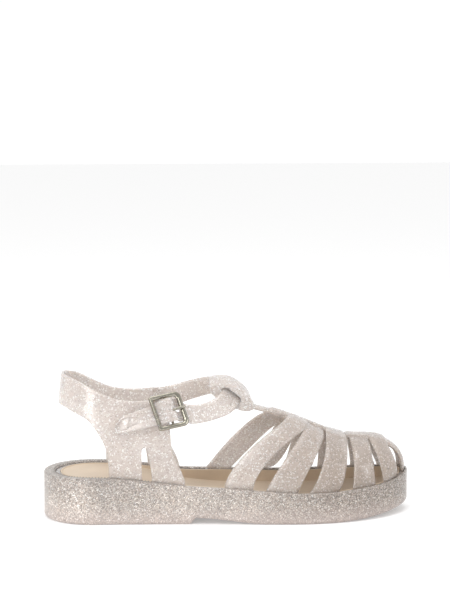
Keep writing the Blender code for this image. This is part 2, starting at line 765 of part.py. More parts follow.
def tunnel_profile():
    """Return the tunnel's outer side outline in x and z, from its low front corner round."""
    foot = sole_x(TUNNEL_FOOT)
    corner = Vector((foot - TUNNEL_LENGTH, ridge_height(foot)))
    points = [corner + Vector((p.along * TUNNEL_LENGTH, p.up * TUNNEL_RISE)) for p in TUNNEL_SHAPE]
    return smooth_path(points + [points[0]], 2)[:-1]


def tunnel_opening(count):
    """Return the tunnel's opening in x and z, an oval round the ankle strap at the instep."""
    upper, lower = ring_row(RING_ROWS[RING_CREST])
    middle = (upper + lower) / 2
    along = (lower - upper).normalized()
    outward = Vector((-along.z, 0, along.x))
    points = []
    for i in range(count):
        turn = 2 * pi * i / count
        reach, rise = cos(turn), sin(turn)
        spot = middle + along * copysign(abs(reach) ** 0.8, reach) * (STRAP_WIDTH / 2 + TUNNEL_PLAY)
        spot = spot + outward * copysign(abs(rise) ** 0.8, rise) * TUNNEL_OPENING / 2
        points.append(Vector((spot.x, spot.z)))
    start = min(range(count), key=lambda i: (points[i] - tunnel_profile()[0]).length)
    return points[start:] + points[:start]


def make_tunnel():
    """Make the tunnel that holds the ankle strap over the instep, narrowing to the spine at its front."""
    path = tunnel_profile()
    inside = tunnel_opening(len(path))
    foot = sole_x(TUNNEL_FOOT)
    bm = bmesh.new()
    rows = []
    for step in range(7):
        loops = []
        for loop in (path, inside):
            verts = []
            for p in loop:
                width = mix(TUNNEL_WIDTH, SPINE_WIDTH, ease(p.x, foot - TUNNEL_LENGTH * TUNNEL_TAPER, foot))
                y = width * (step / 6 - 0.5)
                verts.append(bm.verts.new((p.x, y, p.y - y * y / (2 * TUNNEL_ARCH) + y * TUNNEL_LEAN)))
            loops.append(verts)
        rows.append(loops)
    count = len(path)
    for a, b in zip(rows, rows[1:]):
        for loop_a, loop_b in zip(a, b):
            for i in range(count):
                bm.faces.new((loop_a[i - 1], loop_a[i], loop_b[i], loop_b[i - 1]))
    for outer, inner in (rows[0], rows[-1]):
        for i in range(count):
            bm.faces.new((outer[i - 1], outer[i], inner[i], inner[i - 1]))
    return finish("tunnel", bm)


# Ankle strap and buckle
def buckle_axes():
    """Return the buckle's centre and its directions along the strap, up across it and outward."""
    place = quarter_place(BUCKLE_PLACE)
    centre = rear_point(place.x, OUTER, place.y) - Vector((0, BUCKLE_STAND, 0))
    along = BUCKLE_ALONG.normalized()
    outward = along.cross(BUCKLE_UP).normalized()
    return centre, along, outward.cross(along), outward


def in_buckle(s, t, n):
    """Return a point of the buckle's own frame: along the strap, up across it and outward."""
    centre, along, up, outward = buckle_axes()
    return centre + along * s + up * t + outward * n


def hinge_tube(name, start, end, radius, sides):
    """Make a round bar along the buckle's hinge line."""
    return tube(name, in_buckle(0, start, -HINGE_DROP), in_buckle(0, end, -HINGE_DROP), radius, sides)


def tunnel_seat():
    """Return x and z of the ankle strap's middle in the tunnel."""
    foot = sole_x(TUNNEL_FOOT)
    corner = Vector((foot - TUNNEL_LENGTH, ridge_height(foot)))
    return corner + Vector((TUNNEL_SEAT.along * TUNNEL_LENGTH, TUNNEL_SEAT.up * TUNNEL_RISE))


def table_row(row):
    """Return the two edge points that a row of the ankle strap's table gives."""
    front = -SOLE_LENGTH / 2 + QUARTER_SPAN * RING_FRONT
    corners = []
    for x, y, z in ((row.top_x, row.top_y, row.top_z), (row.low_x, row.low_y, row.low_z)):
        height = HEEL_HEIGHT + z * COLLAR_HEIGHT
        corners.append(Vector((front + x * QUARTER_SPAN, y * ANKLE_WIDTH / 2, height)))
    return corners


def ring_row(row):
    """Return the strap's two edge points at a row, drawn to the tunnel's seat near the crest."""
    upper, lower = table_row(row)
    crest = sum(table_row(RING_ROWS[RING_CREST]), Vector()) / 2
    seat = tunnel_seat()
    pull = 1 - ease(abs(row.top_y), 0.0, RING_HOLD)
    middle = (upper + lower) / 2 + Vector((seat.x - crest.x, 0, seat.y - crest.z)) * pull
    half = (upper - lower).normalized() * STRAP_WIDTH * row.width / 2
    return [middle + half, middle - half]


def strap_rows():
    """Return the ankle strap's rows as (upper edge, lower edge) from its tip to the inner quarter."""
    centre = buckle_axes()[0]
    half = STRAP_WIDTH / 2
    over = HINGE_RADIUS + KNUCKLE_PLAY + KNUCKLE_WALL + CLEARANCE + STRAP_WALL / 2 - HINGE_DROP
    under = BUCKLE_DEPTH / 2 + 2 * CLEARANCE + STRAP_WALL / 2
    rows = []
    for share, width in STRAP_TIP:
        x = centre.x - mix(STRAP_TIP_LENGTH, BUCKLE_LENGTH / 2, share)
        z = centre.z - mix(TIP_FALL, TIP_FALL * TIP_NEAR, share)
        gap = WALL + CLEARANCE * 2 + STRAP_WALL / 2 + TIP_STAND * ease(share, 0.1, 0.9)
        edges = []
        for turn in (1, -1):
            spot = rear_point(x + turn * half * width * TIP_LEAN, OUTER, z + turn * half * width)
            edges.append(spot - Vector((0, gap, 0)))
        rows.append(edges)
    for place, height, width in STRAP_WAVE:
        offset = mix(-under, over, height)
        rows.append([in_buckle(BUCKLE_LENGTH * place, turn * half * width, offset) for turn in (1, -1)])
    return rows + [ring_row(row) for row in RING_ROWS]


def make_strap():
    """Make the ankle strap from its free tip through the buckle and the tunnel to the inner quarter."""
    rows = strap_rows()
    uppers = smooth_path([row[0] for row in rows], 2)
    lowers = smooth_path([row[1] for row in rows], 2)
    sections = []
    last = len(uppers) - 1
    for i, (upper, lower) in enumerate(zip(uppers, lowers)):
        middle = (upper + lower) / 2
        before, after = max(i - 1, 0), min(i + 1, last)
        run = (uppers[after] + lowers[after]) - (uppers[before] + lowers[before])
        across = (lower - upper).normalized()
        outward = across.cross(run).normalized()
        half = (upper - lower).length / 2
        start = middle - outward * STRAP_WALL / 2
        sections.append(band_section(start, across, outward, half, STRAP_WALL))
    strap = sweep("ankle_strap", sections)
    hole = buckle_box("prong_hole", (HOLE_START, HOLE_END), PRONG_WIDTH / 2 + 2 * CLEARANCE, 3 * STRAP_WALL)
    return combine(strap, [hole], "DIFFERENCE")


def buckle_box(name, span, half_width, half_depth):
    """Make a box in the buckle's frame over a span along the strap."""
    corners = ((-1, -1), (1, -1), (1, 1), (-1, 1))
    return sweep(name, [[in_buckle(s, t * half_width, n * half_depth) for t, n in corners] for s in span])


def make_quarters():
    """Make heel band, quarters, legs and the knuckles that hold the buckle's centre bar."""
    reach = BUCKLE_HEIGHT / 2
    drill = hinge_tube("bore", -reach, reach, HINGE_RADIUS + KNUCKLE_PLAY, 12)
    slot_width = PRONG_WIDTH + 4 * CLEARANCE
    slot = buckle_box("prong_slot", (-SLOT_REACH, SLOT_REACH), slot_width / 2, 2 * BUCKLE_DEPTH)
    cutter = prism("quarter_outline", quarter_outline(), BALL_WIDTH)
    quarters = combine(rear_wall(), [cutter], "INTERSECT")
    quarters = combine(quarters, [make_keeper()], "UNION")
    return combine(quarters, [drill, slot], "DIFFERENCE")


def make_keeper():
    """Make the quarter's tongue with the two knuckles, before they are drilled."""
    centre = buckle_axes()[0]
    bore = HINGE_RADIUS + KNUCKLE_PLAY
    start = PRONG_WIDTH / 2 + 2 * CLEARANCE
    end = start + KNUCKLE_LENGTH
    half = end - KEEPER_INSET
    edges = []
    for back, out in ((KEEPER_ROOT, 0.5 * WALL), (KEEPER_BEND, 0.8 * WALL)):
        roots = [rear_point(centre.x - back, OUTER, centre.z + t * half) for t in (1, -1)]
        edges.append([root - Vector((0, out, 0)) for root in roots])
    seat = bore + KNUCKLE_WALL / 2 + HINGE_DROP
    for s in (-KEEPER_NECK, 0.0):
        edges.append([in_buckle(s, t * half, -seat) for t in (1, -1)])
    sections = []
    for i, (upper, lower) in enumerate(edges):
        before, after = edges[max(i - 1, 0)], edges[min(i + 1, len(edges) - 1)]
        run = sum(after, Vector()) - sum(before, Vector())
        across = (lower - upper).normalized()
        outward = across.cross(run).normalized() * KNUCKLE_WALL / 2
        sections.append([upper + outward, lower + outward, lower - outward, upper - outward])
    keeper = sweep("keeper", sections)
    wall = bore + KNUCKLE_WALL
    knuckles = [hinge_tube("knuckle", side * (start - CLEARANCE), side * end, wall, 12) for side in (1, -1)]
    return combine(keeper, knuckles, "UNION")


def buckle_outline(rear, front, side, rear_corner, front_corner):
    """Return a rounded outline between half lengths, with five points at each corner."""
    points = []
    corners = (
        (front, side, front_corner, 0.0),
        (-rear, side, rear_corner, pi / 2),
        (-rear, -side, rear_corner, pi),
        (front, -side, front_corner, 3 * pi / 2),
    )
    for s, t, radius, start in corners:
        middle_s, middle_t = s - copysign(radius, s), t - copysign(radius, t)
        for i in range(5):
            turn = start + pi / 2 * i / 4
            points.append((middle_s + radius * cos(turn), middle_t + radius * sin(turn)))
    return points


def make_buckle_frame():
    """Make the cast buckle frame with its centre bar."""
    half_length, half_height, half_depth = BUCKLE_LENGTH / 2, BUCKLE_HEIGHT / 2, BUCKLE_DEPTH / 2
    outer = buckle_outline(half_length, half_length, half_height, BUCKLE_REAR_CORNER, BUCKLE_FRONT_CORNER)
    inner = buckle_outline(
        half_length - BUCKLE_REAR_BAR,
        half_length - BUCKLE_FRONT_BAR,
        half_height - BUCKLE_SIDE_BAR,
        BUCKLE_REAR_CORNER / 2,
        BUCKLE_FRONT_CORNER / 2,
    )
    sections = []
    for (out_s, out_t), (in_s, in_t) in zip(outer, inner):
        section = []
        for share, depth in FRAME_SECTION:
            section.append(in_buckle(mix(out_s, in_s, share), mix(out_t, in_t, share), depth * half_depth))
        sections.append(section)
    frame = sweep("buckle_frame", sections, closed=True)
    reach = half_height - BUCKLE_SIDE_BAR / 2
    bar = hinge_tube("hinge", -reach, reach, HINGE_RADIUS, 12)
    return combine(frame, [bar], "UNION")


def make_prong():
    """Make the prong: an eye round the centre bar and a pin that rests on the front bar."""
    bore = HINGE_RADIUS + KNUCKLE_PLAY
    half = PRONG_WIDTH / 2
    eye = hinge_tube("buckle_prong", -half, half, bore + PRONG_WALL, 16)
    rest = BUCKLE_DEPTH / 2 + CLEARANCE + half
    front = BUCKLE_LENGTH / 2 - BUCKLE_FRONT_BAR / 2
    knots = (
        # along and out of the buckle, and the pin's thickness as a share of the prong's width
        (bore * 0.9, bore * 0.55 - HINGE_DROP, 0.95),
        (front * 0.45, rest * 0.62, 1.0),
        (front * 0.85, rest, 0.95),
        (front + PRONG_REACH, rest, 0.75),
    )
    turns = [2 * pi * i / 10 for i in range(10)]
    sections = []
    for s, n, size in knots:
        sections.append([in_buckle(s, half * size * cos(t), n + half * size * sin(t)) for t in turns])
    pin = sweep("pin", sections)
    prong = combine(eye, [pin], "UNION")
    drill = hinge_tube("bore", -2 * half, 2 * half, bore, 16)
    return combine(prong, [drill], "DIFFERENCE")


def make_upper():
    """Make the moulded upper in one solid."""
    straps = [vamp_strap(strap, 0.0, pi, 18) for strap in VAMP_STRAPS]
    straps.append(vamp_strap(INSTEP_STRAP, pi / 2, pi, 9))
    rear = [make_quarters(), make_strap()]
    upper = combine(foot_band(), [*rear, *straps, make_spine(), make_tunnel()], "UNION")
    upper.name = "upper"
    return upper


def paint(thing, colour, roughness, metallic=0.0):
    """Give an object its own plain material."""
    material = bpy.data.materials.new(thing.name)
    material.use_nodes = True
    shader = material.node_tree.nodes["Principled BSDF"]
    shader.inputs["Base Color"].default_value = (*colour, 1.0)
    shader.inputs["Roughness"].default_value = roughness
    shader.inputs["Metallic"].default_value = metallic
    thing.data.materials.clear()
    thing.data.materials.append(material)
    thing.data.shade_smooth()
    thing.data.set_sharp_from_angle(angle=pi / 5)


def main():
    """Build the sandal."""
    clear_scene()
    paint(make_sole(), (0.55, 0.50, 0.48), 0.35)
    paint(make_insole(), (0.72, 0.56, 0.38), 0.6)
    paint(make_upper(), (0.70, 0.64, 0.60), 0.25)
    paint(make_buckle_frame(), (0.60, 0.56, 0.46), 0.25, 1.0)
    paint(make_prong(), (0.60, 0.56, 0.46), 0.25, 1.0)


main()
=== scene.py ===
"""A right-foot jelly sandal of milky glitter plastic, dressed around its CAD frame.

Lengths are in metres. The toe points along +X, up is +Z, the outer side with the buckle is -Y.
"""

import logging
from bisect import bisect_right
from dataclasses import dataclass, field
from enum import Enum
from math import copysign, cos, pi, radians, sin, sqrt
from typing import Callable, Iterable, NamedTuple, Sequence

import bmesh
import bpy
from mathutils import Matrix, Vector


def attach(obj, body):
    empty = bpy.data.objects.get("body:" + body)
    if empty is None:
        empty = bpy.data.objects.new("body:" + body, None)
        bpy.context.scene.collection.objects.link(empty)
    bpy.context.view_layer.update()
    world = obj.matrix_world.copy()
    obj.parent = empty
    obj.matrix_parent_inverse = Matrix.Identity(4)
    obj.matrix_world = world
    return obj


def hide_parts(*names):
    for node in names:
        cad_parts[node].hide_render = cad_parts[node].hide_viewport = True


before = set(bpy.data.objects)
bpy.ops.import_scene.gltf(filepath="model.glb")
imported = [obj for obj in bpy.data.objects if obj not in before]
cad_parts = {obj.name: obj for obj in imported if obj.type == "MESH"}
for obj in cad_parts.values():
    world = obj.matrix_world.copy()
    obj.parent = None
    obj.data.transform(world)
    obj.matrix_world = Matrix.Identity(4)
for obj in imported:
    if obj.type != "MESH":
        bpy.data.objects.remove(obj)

logging.basicConfig(level=logging.INFO, format="%(message)s")
LOG = logging.getLogger("sandal")

BODY = "root"
MILLIMETRE = 0.001
Loop = list[Vector]
Colour = tuple[float, float, float]
Stop = tuple[float, Colour]


class Side(Enum):
    """The two sides of the foot, as the sign of y."""

    OUTER = -1
    INNER = 1


class SoleRow(NamedTuple):
    """A place along the sole with shares of its widths and heights."""

    along: float
    spread: float
    swing: float
    heel: float
    toe: float
    rim: float
    bed: float


class Rise(NamedTuple):
    """The ridge's height at a place along the sole, as a share of the instep's."""

    along: float
    rise: float


class BackRow(NamedTuple):
    """The heel band's place at a height, as shares of the rim's width and of the ankle's weight."""

    along: float
    back: float
    width: float


class EdgePoint(NamedTuple):
    """A point of a side outline, as shares of its length and height."""

    along: float
    up: float


class RingRow(NamedTuple):
    """The ankle strap's two edges, as shares of the quarters' span, half the ankle and the collar."""

    top_x: float
    top_y: float
    top_z: float
    low_x: float
    low_y: float
    low_z: float
    width: float


@dataclass(frozen=True)
class VampStrap:
    """One strap of the vamp: its places along the sole and its widths as shares of the foot width."""

    name: str
    outer_foot: float
    top: float
    inner_foot: float
    foot: float
    middle: float
    peak: float
    lean: float
    inner_lean: float
    over: bool


def mix(a: float, b: float, share: float) -> float:
    """Return the value a share of the way from a to b."""
    return a + (b - a) * share


def ease(value: float, low: float, high: float) -> float:
    """Rise smoothly from 0 at low to 1 at high."""
    share = min(max((value - low) / (high - low), 0.0), 1.0)
    return share * share * (3 - 2 * share)


def smooth(rows: Sequence[NamedTuple], column: str, place: float) -> float:
    """Read a column at a place on a smooth curve through a table's rows.

    Args:
        rows: the table, sorted by its column "along".
        column: the name of the column to read.
        place: where to read it.

    Returns:
        The value there.
    """
    places = [row.along for row in rows]
    values = [getattr(row, column) for row in rows]
    place = min(max(place, places[0]), places[-1])
    at = min(bisect_right(places, place), len(rows) - 1) - 1
    slopes = []
    for i in (at, at + 1):
        before, after = max(i - 1, 0), min(i + 1, len(rows) - 1)
        slopes.append((values[after] - values[before]) / (places[after] - places[before]))
    step = places[at + 1] - places[at]
    t = (place - places[at]) / step
    return (
        values[at] * (1 + 2 * t) * (1 - t) ** 2
        + slopes[0] * step * t * (1 - t) ** 2
        + values[at + 1] * t * t * (3 - 2 * t)
        + slopes[1] * step * t * t * (t - 1)
    )


def smooth_path(points: Sequence[Vector], steps: int) -> Loop:
    """Return a Catmull-Rom curve through the points.

    Args:
        points: the points it passes through.
        steps: how many steps it takes between each two.

    Returns:
        The curve's points.
    """
    path = []
    last = len(points) - 1
    for i in range(last):
        a, b = points[max(i - 1, 0)], points[i]
        c, d = points[i + 1], points[min(i + 2, last)]
        for j in range(steps):
            t = j / steps
            square = (2 * a - 5 * b + 4 * c - d) * t**2
            cube = (3 * b - a - 3 * c + d) * t**3
            path.append(0.5 * (2 * b + (c - a) * t + square + cube))
    path.append(points[last].copy())
    return path


def finish_mesh(name: str, shape: bmesh.types.BMesh, smooth_angle: float = pi / 5) -> bpy.types.Object:
    """Make an object of a bmesh, with its faces pointing out.

    Args:
        name: the object's name.
        shape: the mesh, which is freed.
        smooth_angle: edges sharper than this stay sharp.

    Returns:
        The new object.
    """
    bmesh.ops.recalc_face_normals(shape, faces=shape.faces)
    mesh = bpy.data.meshes.new(name)
    shape.to_mesh(mesh)
    shape.free()
    mesh.shade_smooth()
    mesh.set_sharp_from_angle(angle=smooth_angle)
    thing = bpy.data.objects.new(name, mesh)
    bpy.context.scene.collection.objects.link(thing)
    return thing


def sweep(name: str, sections: Sequence[Sequence[Vector]], closed: bool = False) -> bpy.types.Object:
    """Make a solid of sections with equal point counts.

    Args:
        name: the object's name.
        sections: the loops of points, from one end to the other.
        closed: whether the last section joins the first.

    Returns:
        The solid, with flat ends unless it closes on itself.
    """
    shape = bmesh.new()
    made = [[shape.verts.new(point) for point in section] for section in sections]
    pairs = list(zip(made, made[1:])) + ([(made[-1], made[0])] if closed else [])
    for a, b in pairs:
        for i in range(len(a)):
            shape.faces.new((a[i - 1], a[i], b[i], b[i - 1]))
    if not closed:
        shape.faces.new(made[0])
        shape.faces.new(made[-1])
    return finish_mesh(name, shape)


def stack(name: str, loops: Sequence[Loop]) -> bpy.types.Object:
    """Make a solid of outline loops from the bottom to the top, closed by rungs across the shoe."""
    shape = bmesh.new()
    made = [[shape.verts.new(point) for point in loop] for loop in loops]
    for low, high in zip(made, made[1:]):
        for i in range(len(low)):
            shape.faces.new((low[i - 1], low[i], high[i], high[i - 1]))
    for loop in (made[0], made[-1]):
        for i in range(len(loop) // 2):
            corners = (loop[i], loop[i + 1], loop[-i - 1], loop[-i % len(loop)])
            shape.faces.new(list(dict.fromkeys(corners)))
    return finish_mesh(name, shape)


def tube(name: str, start: Vector, end: Vector, radius: float, sides: int = 32) -> bpy.types.Object:
    """Make a round bar between two points."""
    axis = (end - start).normalized()
    first = axis.orthogonal().normalized()
    second = axis.cross(first)
    turns = [2 * pi * i / sides for i in range(sides)]
    spokes = [(first * cos(t) + second * sin(t)) * radius for t in turns]
    return sweep(name, [[centre + spoke for spoke in spokes] for centre in (start, end)])


def combine(base: bpy.types.Object, others: Iterable[bpy.types.Object], operation: str) -> bpy.types.Object:
    """Apply one Boolean operation after another to a solid and remove the solids used.

    Args:
        base: the solid that changes.
        others: the solids used on it.
        operation: UNION, DIFFERENCE or INTERSECT.

    Returns:
        The changed solid.
    """
    for other in others:
        step = base.modifiers.new("cut", "BOOLEAN")
        step.operation = operation
        step.solver = "MANIFOLD"
        step.object = other
        apply_modifiers(base)
        bpy.data.objects.remove(other, do_unlink=True)
    return base


def apply_modifiers(thing: bpy.types.Object) -> None:
    """Turn an object's modifiers into its plain mesh."""
    graph = bpy.context.evaluated_depsgraph_get()
    mesh = bpy.data.meshes.new_from_object(thing.evaluated_get(graph))
    thing.modifiers.clear()
    old, thing.data = thing.data, mesh
    bpy.data.meshes.remove(old)


def mould(thing: bpy.types.Object, voxel: float, rounds: int) -> bpy.types.Object:
    """Melt overlapping solids into one moulded wall with soft fillets.

    Args:
        thing: the overlapping closed solids.
        voxel: the size of the grid they are melted on.
        rounds: how often the surface is smoothed.

    Returns:
        The same object with the melted mesh.
    """
    melt = thing.modifiers.new("melt", "REMESH")
    melt.mode = "VOXEL"
    melt.voxel_size = voxel
    melt.use_smooth_shade = True
    soften = thing.modifiers.new("soften", "SMOOTH")
    soften.factor = 0.5
    soften.iterations = rounds
    apply_modifiers(thing)
    return thing


def crisp(thing: bpy.types.Object, angle: float = pi / 5) -> bpy.types.Object:
    """Shade an object smooth, with edges sharper than the angle left sharp, and return it."""
    thing.data.shade_smooth()
    thing.data.set_sharp_from_angle(angle=angle)
    return thing


def paint(thing: bpy.types.Object, material: bpy.types.Material) -> None:
    """Give an object one material."""
    thing.data.materials.clear()
    thing.data.materials.append(material)


def dress(thing: bpy.types.Object, node: str | None = None) -> None:
    """Fix a finished piece to the frame.

    Args:
        thing: the piece.
        node: the CAD node that it stands for, if any.
    """
    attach(thing, BODY)
    if node:
        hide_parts(node)
    triangles = sum(len(face.vertices) - 2 for face in thing.data.polygons)
    LOG.info("%s: %d triangles", thing.name, triangles)


@dataclass(frozen=True)
class Last:
    """The shape of the foot that the sandal is made on: sizes, tables and the curves between them."""

    sole_length: float = 0.254
    ball_width: float = 0.094
    heel_width: float = 0.072
    heel_height: float = 0.0315
    ball_height: float = 0.0208
    toe_rise: float = 0.0075
    toe_spring: float = 0.006
    arch_rise: float = 0.004
    heel_round: float = 0.036
    toe_round: float = 0.078
    swing: float = 0.006
    rim_breadth: float = 0.008
    clearance: float = 0.0003
    foot_band_wall: float = 0.0028
    foot_band_drop: float = 0.0012
    foot_sink: float = 0.0032
    bed_depth: float = 0.0088
    insole_thickness: float = 0.0026
    instep_rise: float = 0.0522
    toe_curl: float = 0.022
    collar_height: float = 0.0695
    ankle_width: float = 0.0485
    quarter_span: float = 0.098
    section_power: float = 2.2
    curl_power: float = 2.7
    end_power: float = 2.3
    arch_start: float = 0.385
    arch_step: float = 0.404
    arch_end: float = 0.60
    spring_start: float = 0.76
    sole_rows: tuple[SoleRow, ...] = (
        SoleRow(0.00, 0.00, 0.00, 1.00, 0.00, 1.00, 0.16),
        SoleRow(0.17, 0.02, -0.05, 1.00, 0.00, 0.80, 0.16),
        SoleRow(0.28, 0.02, -0.25, 0.78, 0.00, 0.62, 0.30),
        SoleRow(0.38, 0.06, -0.45, 0.50, 0.00, 0.55, 0.72),
        SoleRow(0.48, 0.28, -0.50, 0.37, 0.00, 0.50, 1.00),
        SoleRow(0.58, 0.65, -0.35, 0.20, 0.00, 0.47, 1.00),
        SoleRow(0.68, 0.95, -0.10, 0.05, 0.00, 0.44, 1.00),
        SoleRow(0.76, 1.02, 0.15, 0.00, 0.06, 0.42, 1.00),
        SoleRow(0.86, 1.02, 0.50, 0.00, 0.26, 0.38, 0.97),
        SoleRow(0.94, 1.00, 0.80, 0.00, 0.52, 0.26, 0.93),
        SoleRow(1.00, 0.98, 1.00, 0.00, 1.00, 0.17, 0.90),
    )
    ridge_rows: tuple[Rise, ...] = (
        Rise(0.49, 1.10),
        Rise(0.545, 1.035),
        Rise(0.60, 0.962),
        Rise(0.64, 0.900),
        Rise(0.70, 0.79),
        Rise(0.763, 0.66),
        Rise(0.80, 0.60),
        Rise(0.835, 0.565),
        Rise(0.87, 0.552),
        Rise(0.90, 0.548),
        Rise(0.94, 0.52),
        Rise(1.00, 0.47),
    )
    back_rows: tuple[BackRow, ...] = (
        BackRow(-0.20, 1.32, 0.00),
        BackRow(0.00, 1.32, 0.00),
        BackRow(0.35, 1.32, 0.12),
        BackRow(0.55, 1.46, 0.40),
        BackRow(0.75, 1.60, 0.80),
        BackRow(1.00, 1.86, 1.00),
        BackRow(1.10, 2.00, 1.02),
    )
    stations: int = 110
    edge: list[tuple[float, Vector, Vector]] = field(default_factory=list)
    lining: dict[Side, Loop] = field(default_factory=dict)

    def __post_init__(self) -> None:
        """Lay out the sole's outline and the lining's line once."""
        self.edge.extend(self.outline())
        inset = self.clearance + self.foot_band_wall - 0.35 * MILLIMETRE
        points = self.ring(lambda a: self.rim_width(a) + inset, lambda a: 0.0)
        half = len(points) // 2
        self.lining[Side.OUTER] = points[: half + 1]
        self.lining[Side.INNER] = [points[0]] + points[: half - 1 : -1]

    @property
    def tip(self) -> float:
        """Return x of the lining's tip at the toe."""
        return self.lining[Side.OUTER][-1].x

    def x_at(self, along: float) -> float:
        """Return x at a share of the sole's length from the heel."""
        return (along - 0.5) * self.sole_length

    def along_of(self, x: float) -> float:
        """Return the share of the sole's length at x."""
        return x / self.sole_length + 0.5

    def edge_width(self, along: float) -> float:
        """Return the outline's half width, rounded to nothing at both ends."""
        half = mix(self.heel_width, self.ball_width, smooth(self.sole_rows, "spread", along)) / 2
        heel = min(along * self.sole_length / self.heel_round, 1.0)
        toe = min((1 - along) * self.sole_length / self.toe_round, 1.0)
        power = self.end_power
        return half * sqrt(max(1 - (1 - heel) ** power, 0.0)) * sqrt(max(1 - (1 - toe) ** power, 0.0))

    def rim_height(self, along: float) -> float:
        """Return the height of the rim's top."""
        heel = (self.heel_height - self.ball_height) * smooth(self.sole_rows, "heel", along)
        return self.ball_height + heel + self.toe_rise * smooth(self.sole_rows, "toe", along)

    def underside(self, along: float) -> float:
        """Return the height of the sole's underside: flat, the arch's recess and the toe spring."""
        step = ease(along, self.arch_start, self.arch_step)
        recess = step * (1 - ease(along, self.arch_step, self.arch_end))
        spring = max((along - self.spring_start) / (1 - self.spring_start), 0.0) ** 2
        return self.arch_rise * recess + self.toe_spring * spring

    def rim_width(self, along: float) -> float:
        """Return the rim's width."""
        return self.rim_breadth * smooth(self.sole_rows, "rim", along)

    def floor_height(self, along: float) -> float:
        """Return the height of the recess's floor under the insole."""
        depth = self.bed_depth * smooth(self.sole_rows, "bed", along)
        return self.rim_height(along) - depth - self.insole_thickness - self.clearance

    def outline(self) -> list[tuple[float, Vector, Vector]]:
        """Return the outline as (place, point, inward normal): heel, outer side, toe, inner side."""
        places = [(1 - cos(pi * i / self.stations)) / 2 for i in range(self.stations + 1)]
        steps = 8
        places += [mix(self.arch_start, self.arch_step, i / steps) for i in range(steps + 1)]
        places = sorted(set(places))
        order = [(a, Side.OUTER) for a in places] + [(a, Side.INNER) for a in places[-2:0:-1]]
        points = []
        for place, side in order:
            lean = self.swing * smooth(self.sole_rows, "swing", place)
            points.append(Vector((self.x_at(place), lean + side.value * self.edge_width(place))))
        middle = (max(p.y for p in points) + min(p.y for p in points)) / 2
        points = [p - Vector((0, middle)) for p in points]
        found = []
        for i, (place, _) in enumerate(order):
            run = points[(i + 1) % len(points)] - points[i - 1]
            found.append((place, points[i], Vector((-run.y, run.x)).normalized()))
        return found

    def ring(self, inset: Callable[[float], float], height: Callable[[float], float]) -> Loop:
        """Return a closed loop at an inset and a height, each a function of the place along the shoe."""
        return [Vector((*(point + inward * inset(a)), height(a))) for a, point, inward in self.edge]

    def lining_y(self, x: float, side: Side) -> float:
        """Return the lining's y at x."""
        line = self.lining[side]
        for a, b in zip(line, line[1:]):
            if a.x <= x <= b.x:
                return mix(a.y, b.y, (x - a.x) / max(b.x - a.x, 1e-9))
        return line[-1].y

    def ridge_height(self, x: float) -> float:
        """Return the height of the vamp's inner face along its ridge."""
        line = self.ball_height + self.instep_rise * smooth(self.ridge_rows, "rise", self.along_of(x))
        base = self.rim_height(self.along_of(x))
        curl = min(max((x - self.tip + self.toe_curl) / self.toe_curl, 0.0), 1.0)
        return base + (line - base) * (1 - curl**self.curl_power) ** (1 / self.curl_power)

    def ridge_y(self, x: float) -> float:
        """Return the ridge's y, midway at the ankle and at the lining's tip at the toe."""
        return self.lining[Side.OUTER][-1].y * ease(x, 0.0, self.tip)

    def vamp_point(self, x: float, angle: float) -> Vector:
        """Return a point of the vamp's inner face, angle 0 at the outer rim and pi at the inner rim."""
        x = min(x, self.tip - 0.05 * MILLIMETRE)
        across, rise = cos(angle), max(sin(angle), 0.0)
        side = Side.OUTER if across > 0 else Side.INNER
        middle = self.ridge_y(x)
        reach = abs(self.lining_y(x, side) - middle)
        power = 2 / self.section_power
        y = middle + side.value * reach * abs(across) ** power
        return Vector((x, y, mix(self.rim_height(self.along_of(x)), self.ridge_height(x), rise**power)))

    def vamp_normal(self, x: float, angle: float) -> Vector:
        """Return the outward normal of the vamp's inner face."""
        x = min(x, self.tip - 0.8 * MILLIMETRE)
        angle = min(max(angle, 0.03), pi - 0.03)
        step = 0.3 * MILLIMETRE
        run = self.vamp_point(x + step, angle) - self.vamp_point(x - step, angle)
        turn = self.vamp_point(x, angle + 0.02) - self.vamp_point(x, angle - 0.02)
        return run.cross(turn).normalized()

    def rear_back(self, height: float) -> float:
        """Return x of the heel band's inner face at the back."""
        up = (height - self.heel_height) / self.collar_height
        return -self.sole_length / 2 + self.rim_breadth * smooth(self.back_rows, "back", up)

    def rear_point(self, x: float, side: Side, height: float) -> Vector:
        """Return a point of the heel band's and quarters' inner face at x and a height."""
        up = (height - self.heel_height) / self.collar_height
        back = self.rear_back(height)
        weight = smooth(self.back_rows, "width", up)
        wide = abs(self.lining_y(max(x, self.x_at(0.12)), side))
        width = mix(wide, self.ankle_width / 2, weight)
        turn = back + self.heel_round * 0.86
        bend = min(max((turn - x) / (turn - back), 0.0), 1.0)
        return Vector((x, side.value * width * (1 - bend**2.25) ** (1 / 2.25), height))

    def quarter_place(self, point: EdgePoint) -> Vector:
        """Return a point of the quarters' side outline in metres, as (x, z)."""
        x = -self.sole_length / 2 + point.along * self.quarter_span
        return Vector((x, self.heel_height + point.up * self.collar_height))


# a strip's section: shares of its half width and of its wall
STRIP_OUTSIDE = (
    (-1.0, 0.36),
    (-0.95, 0.62),
    (-0.82, 0.86),
    (-0.5, 0.96),
    (0.0, 1.0),
    (0.5, 0.96),
    (0.82, 0.86),
    (0.95, 0.62),
    (1.0, 0.36),
)
STRIP_INSIDE = ((0.86, 0.0), (0.4, 0.0), (0.0, 0.0), (-0.4, 0.0), (-0.86, 0.0))


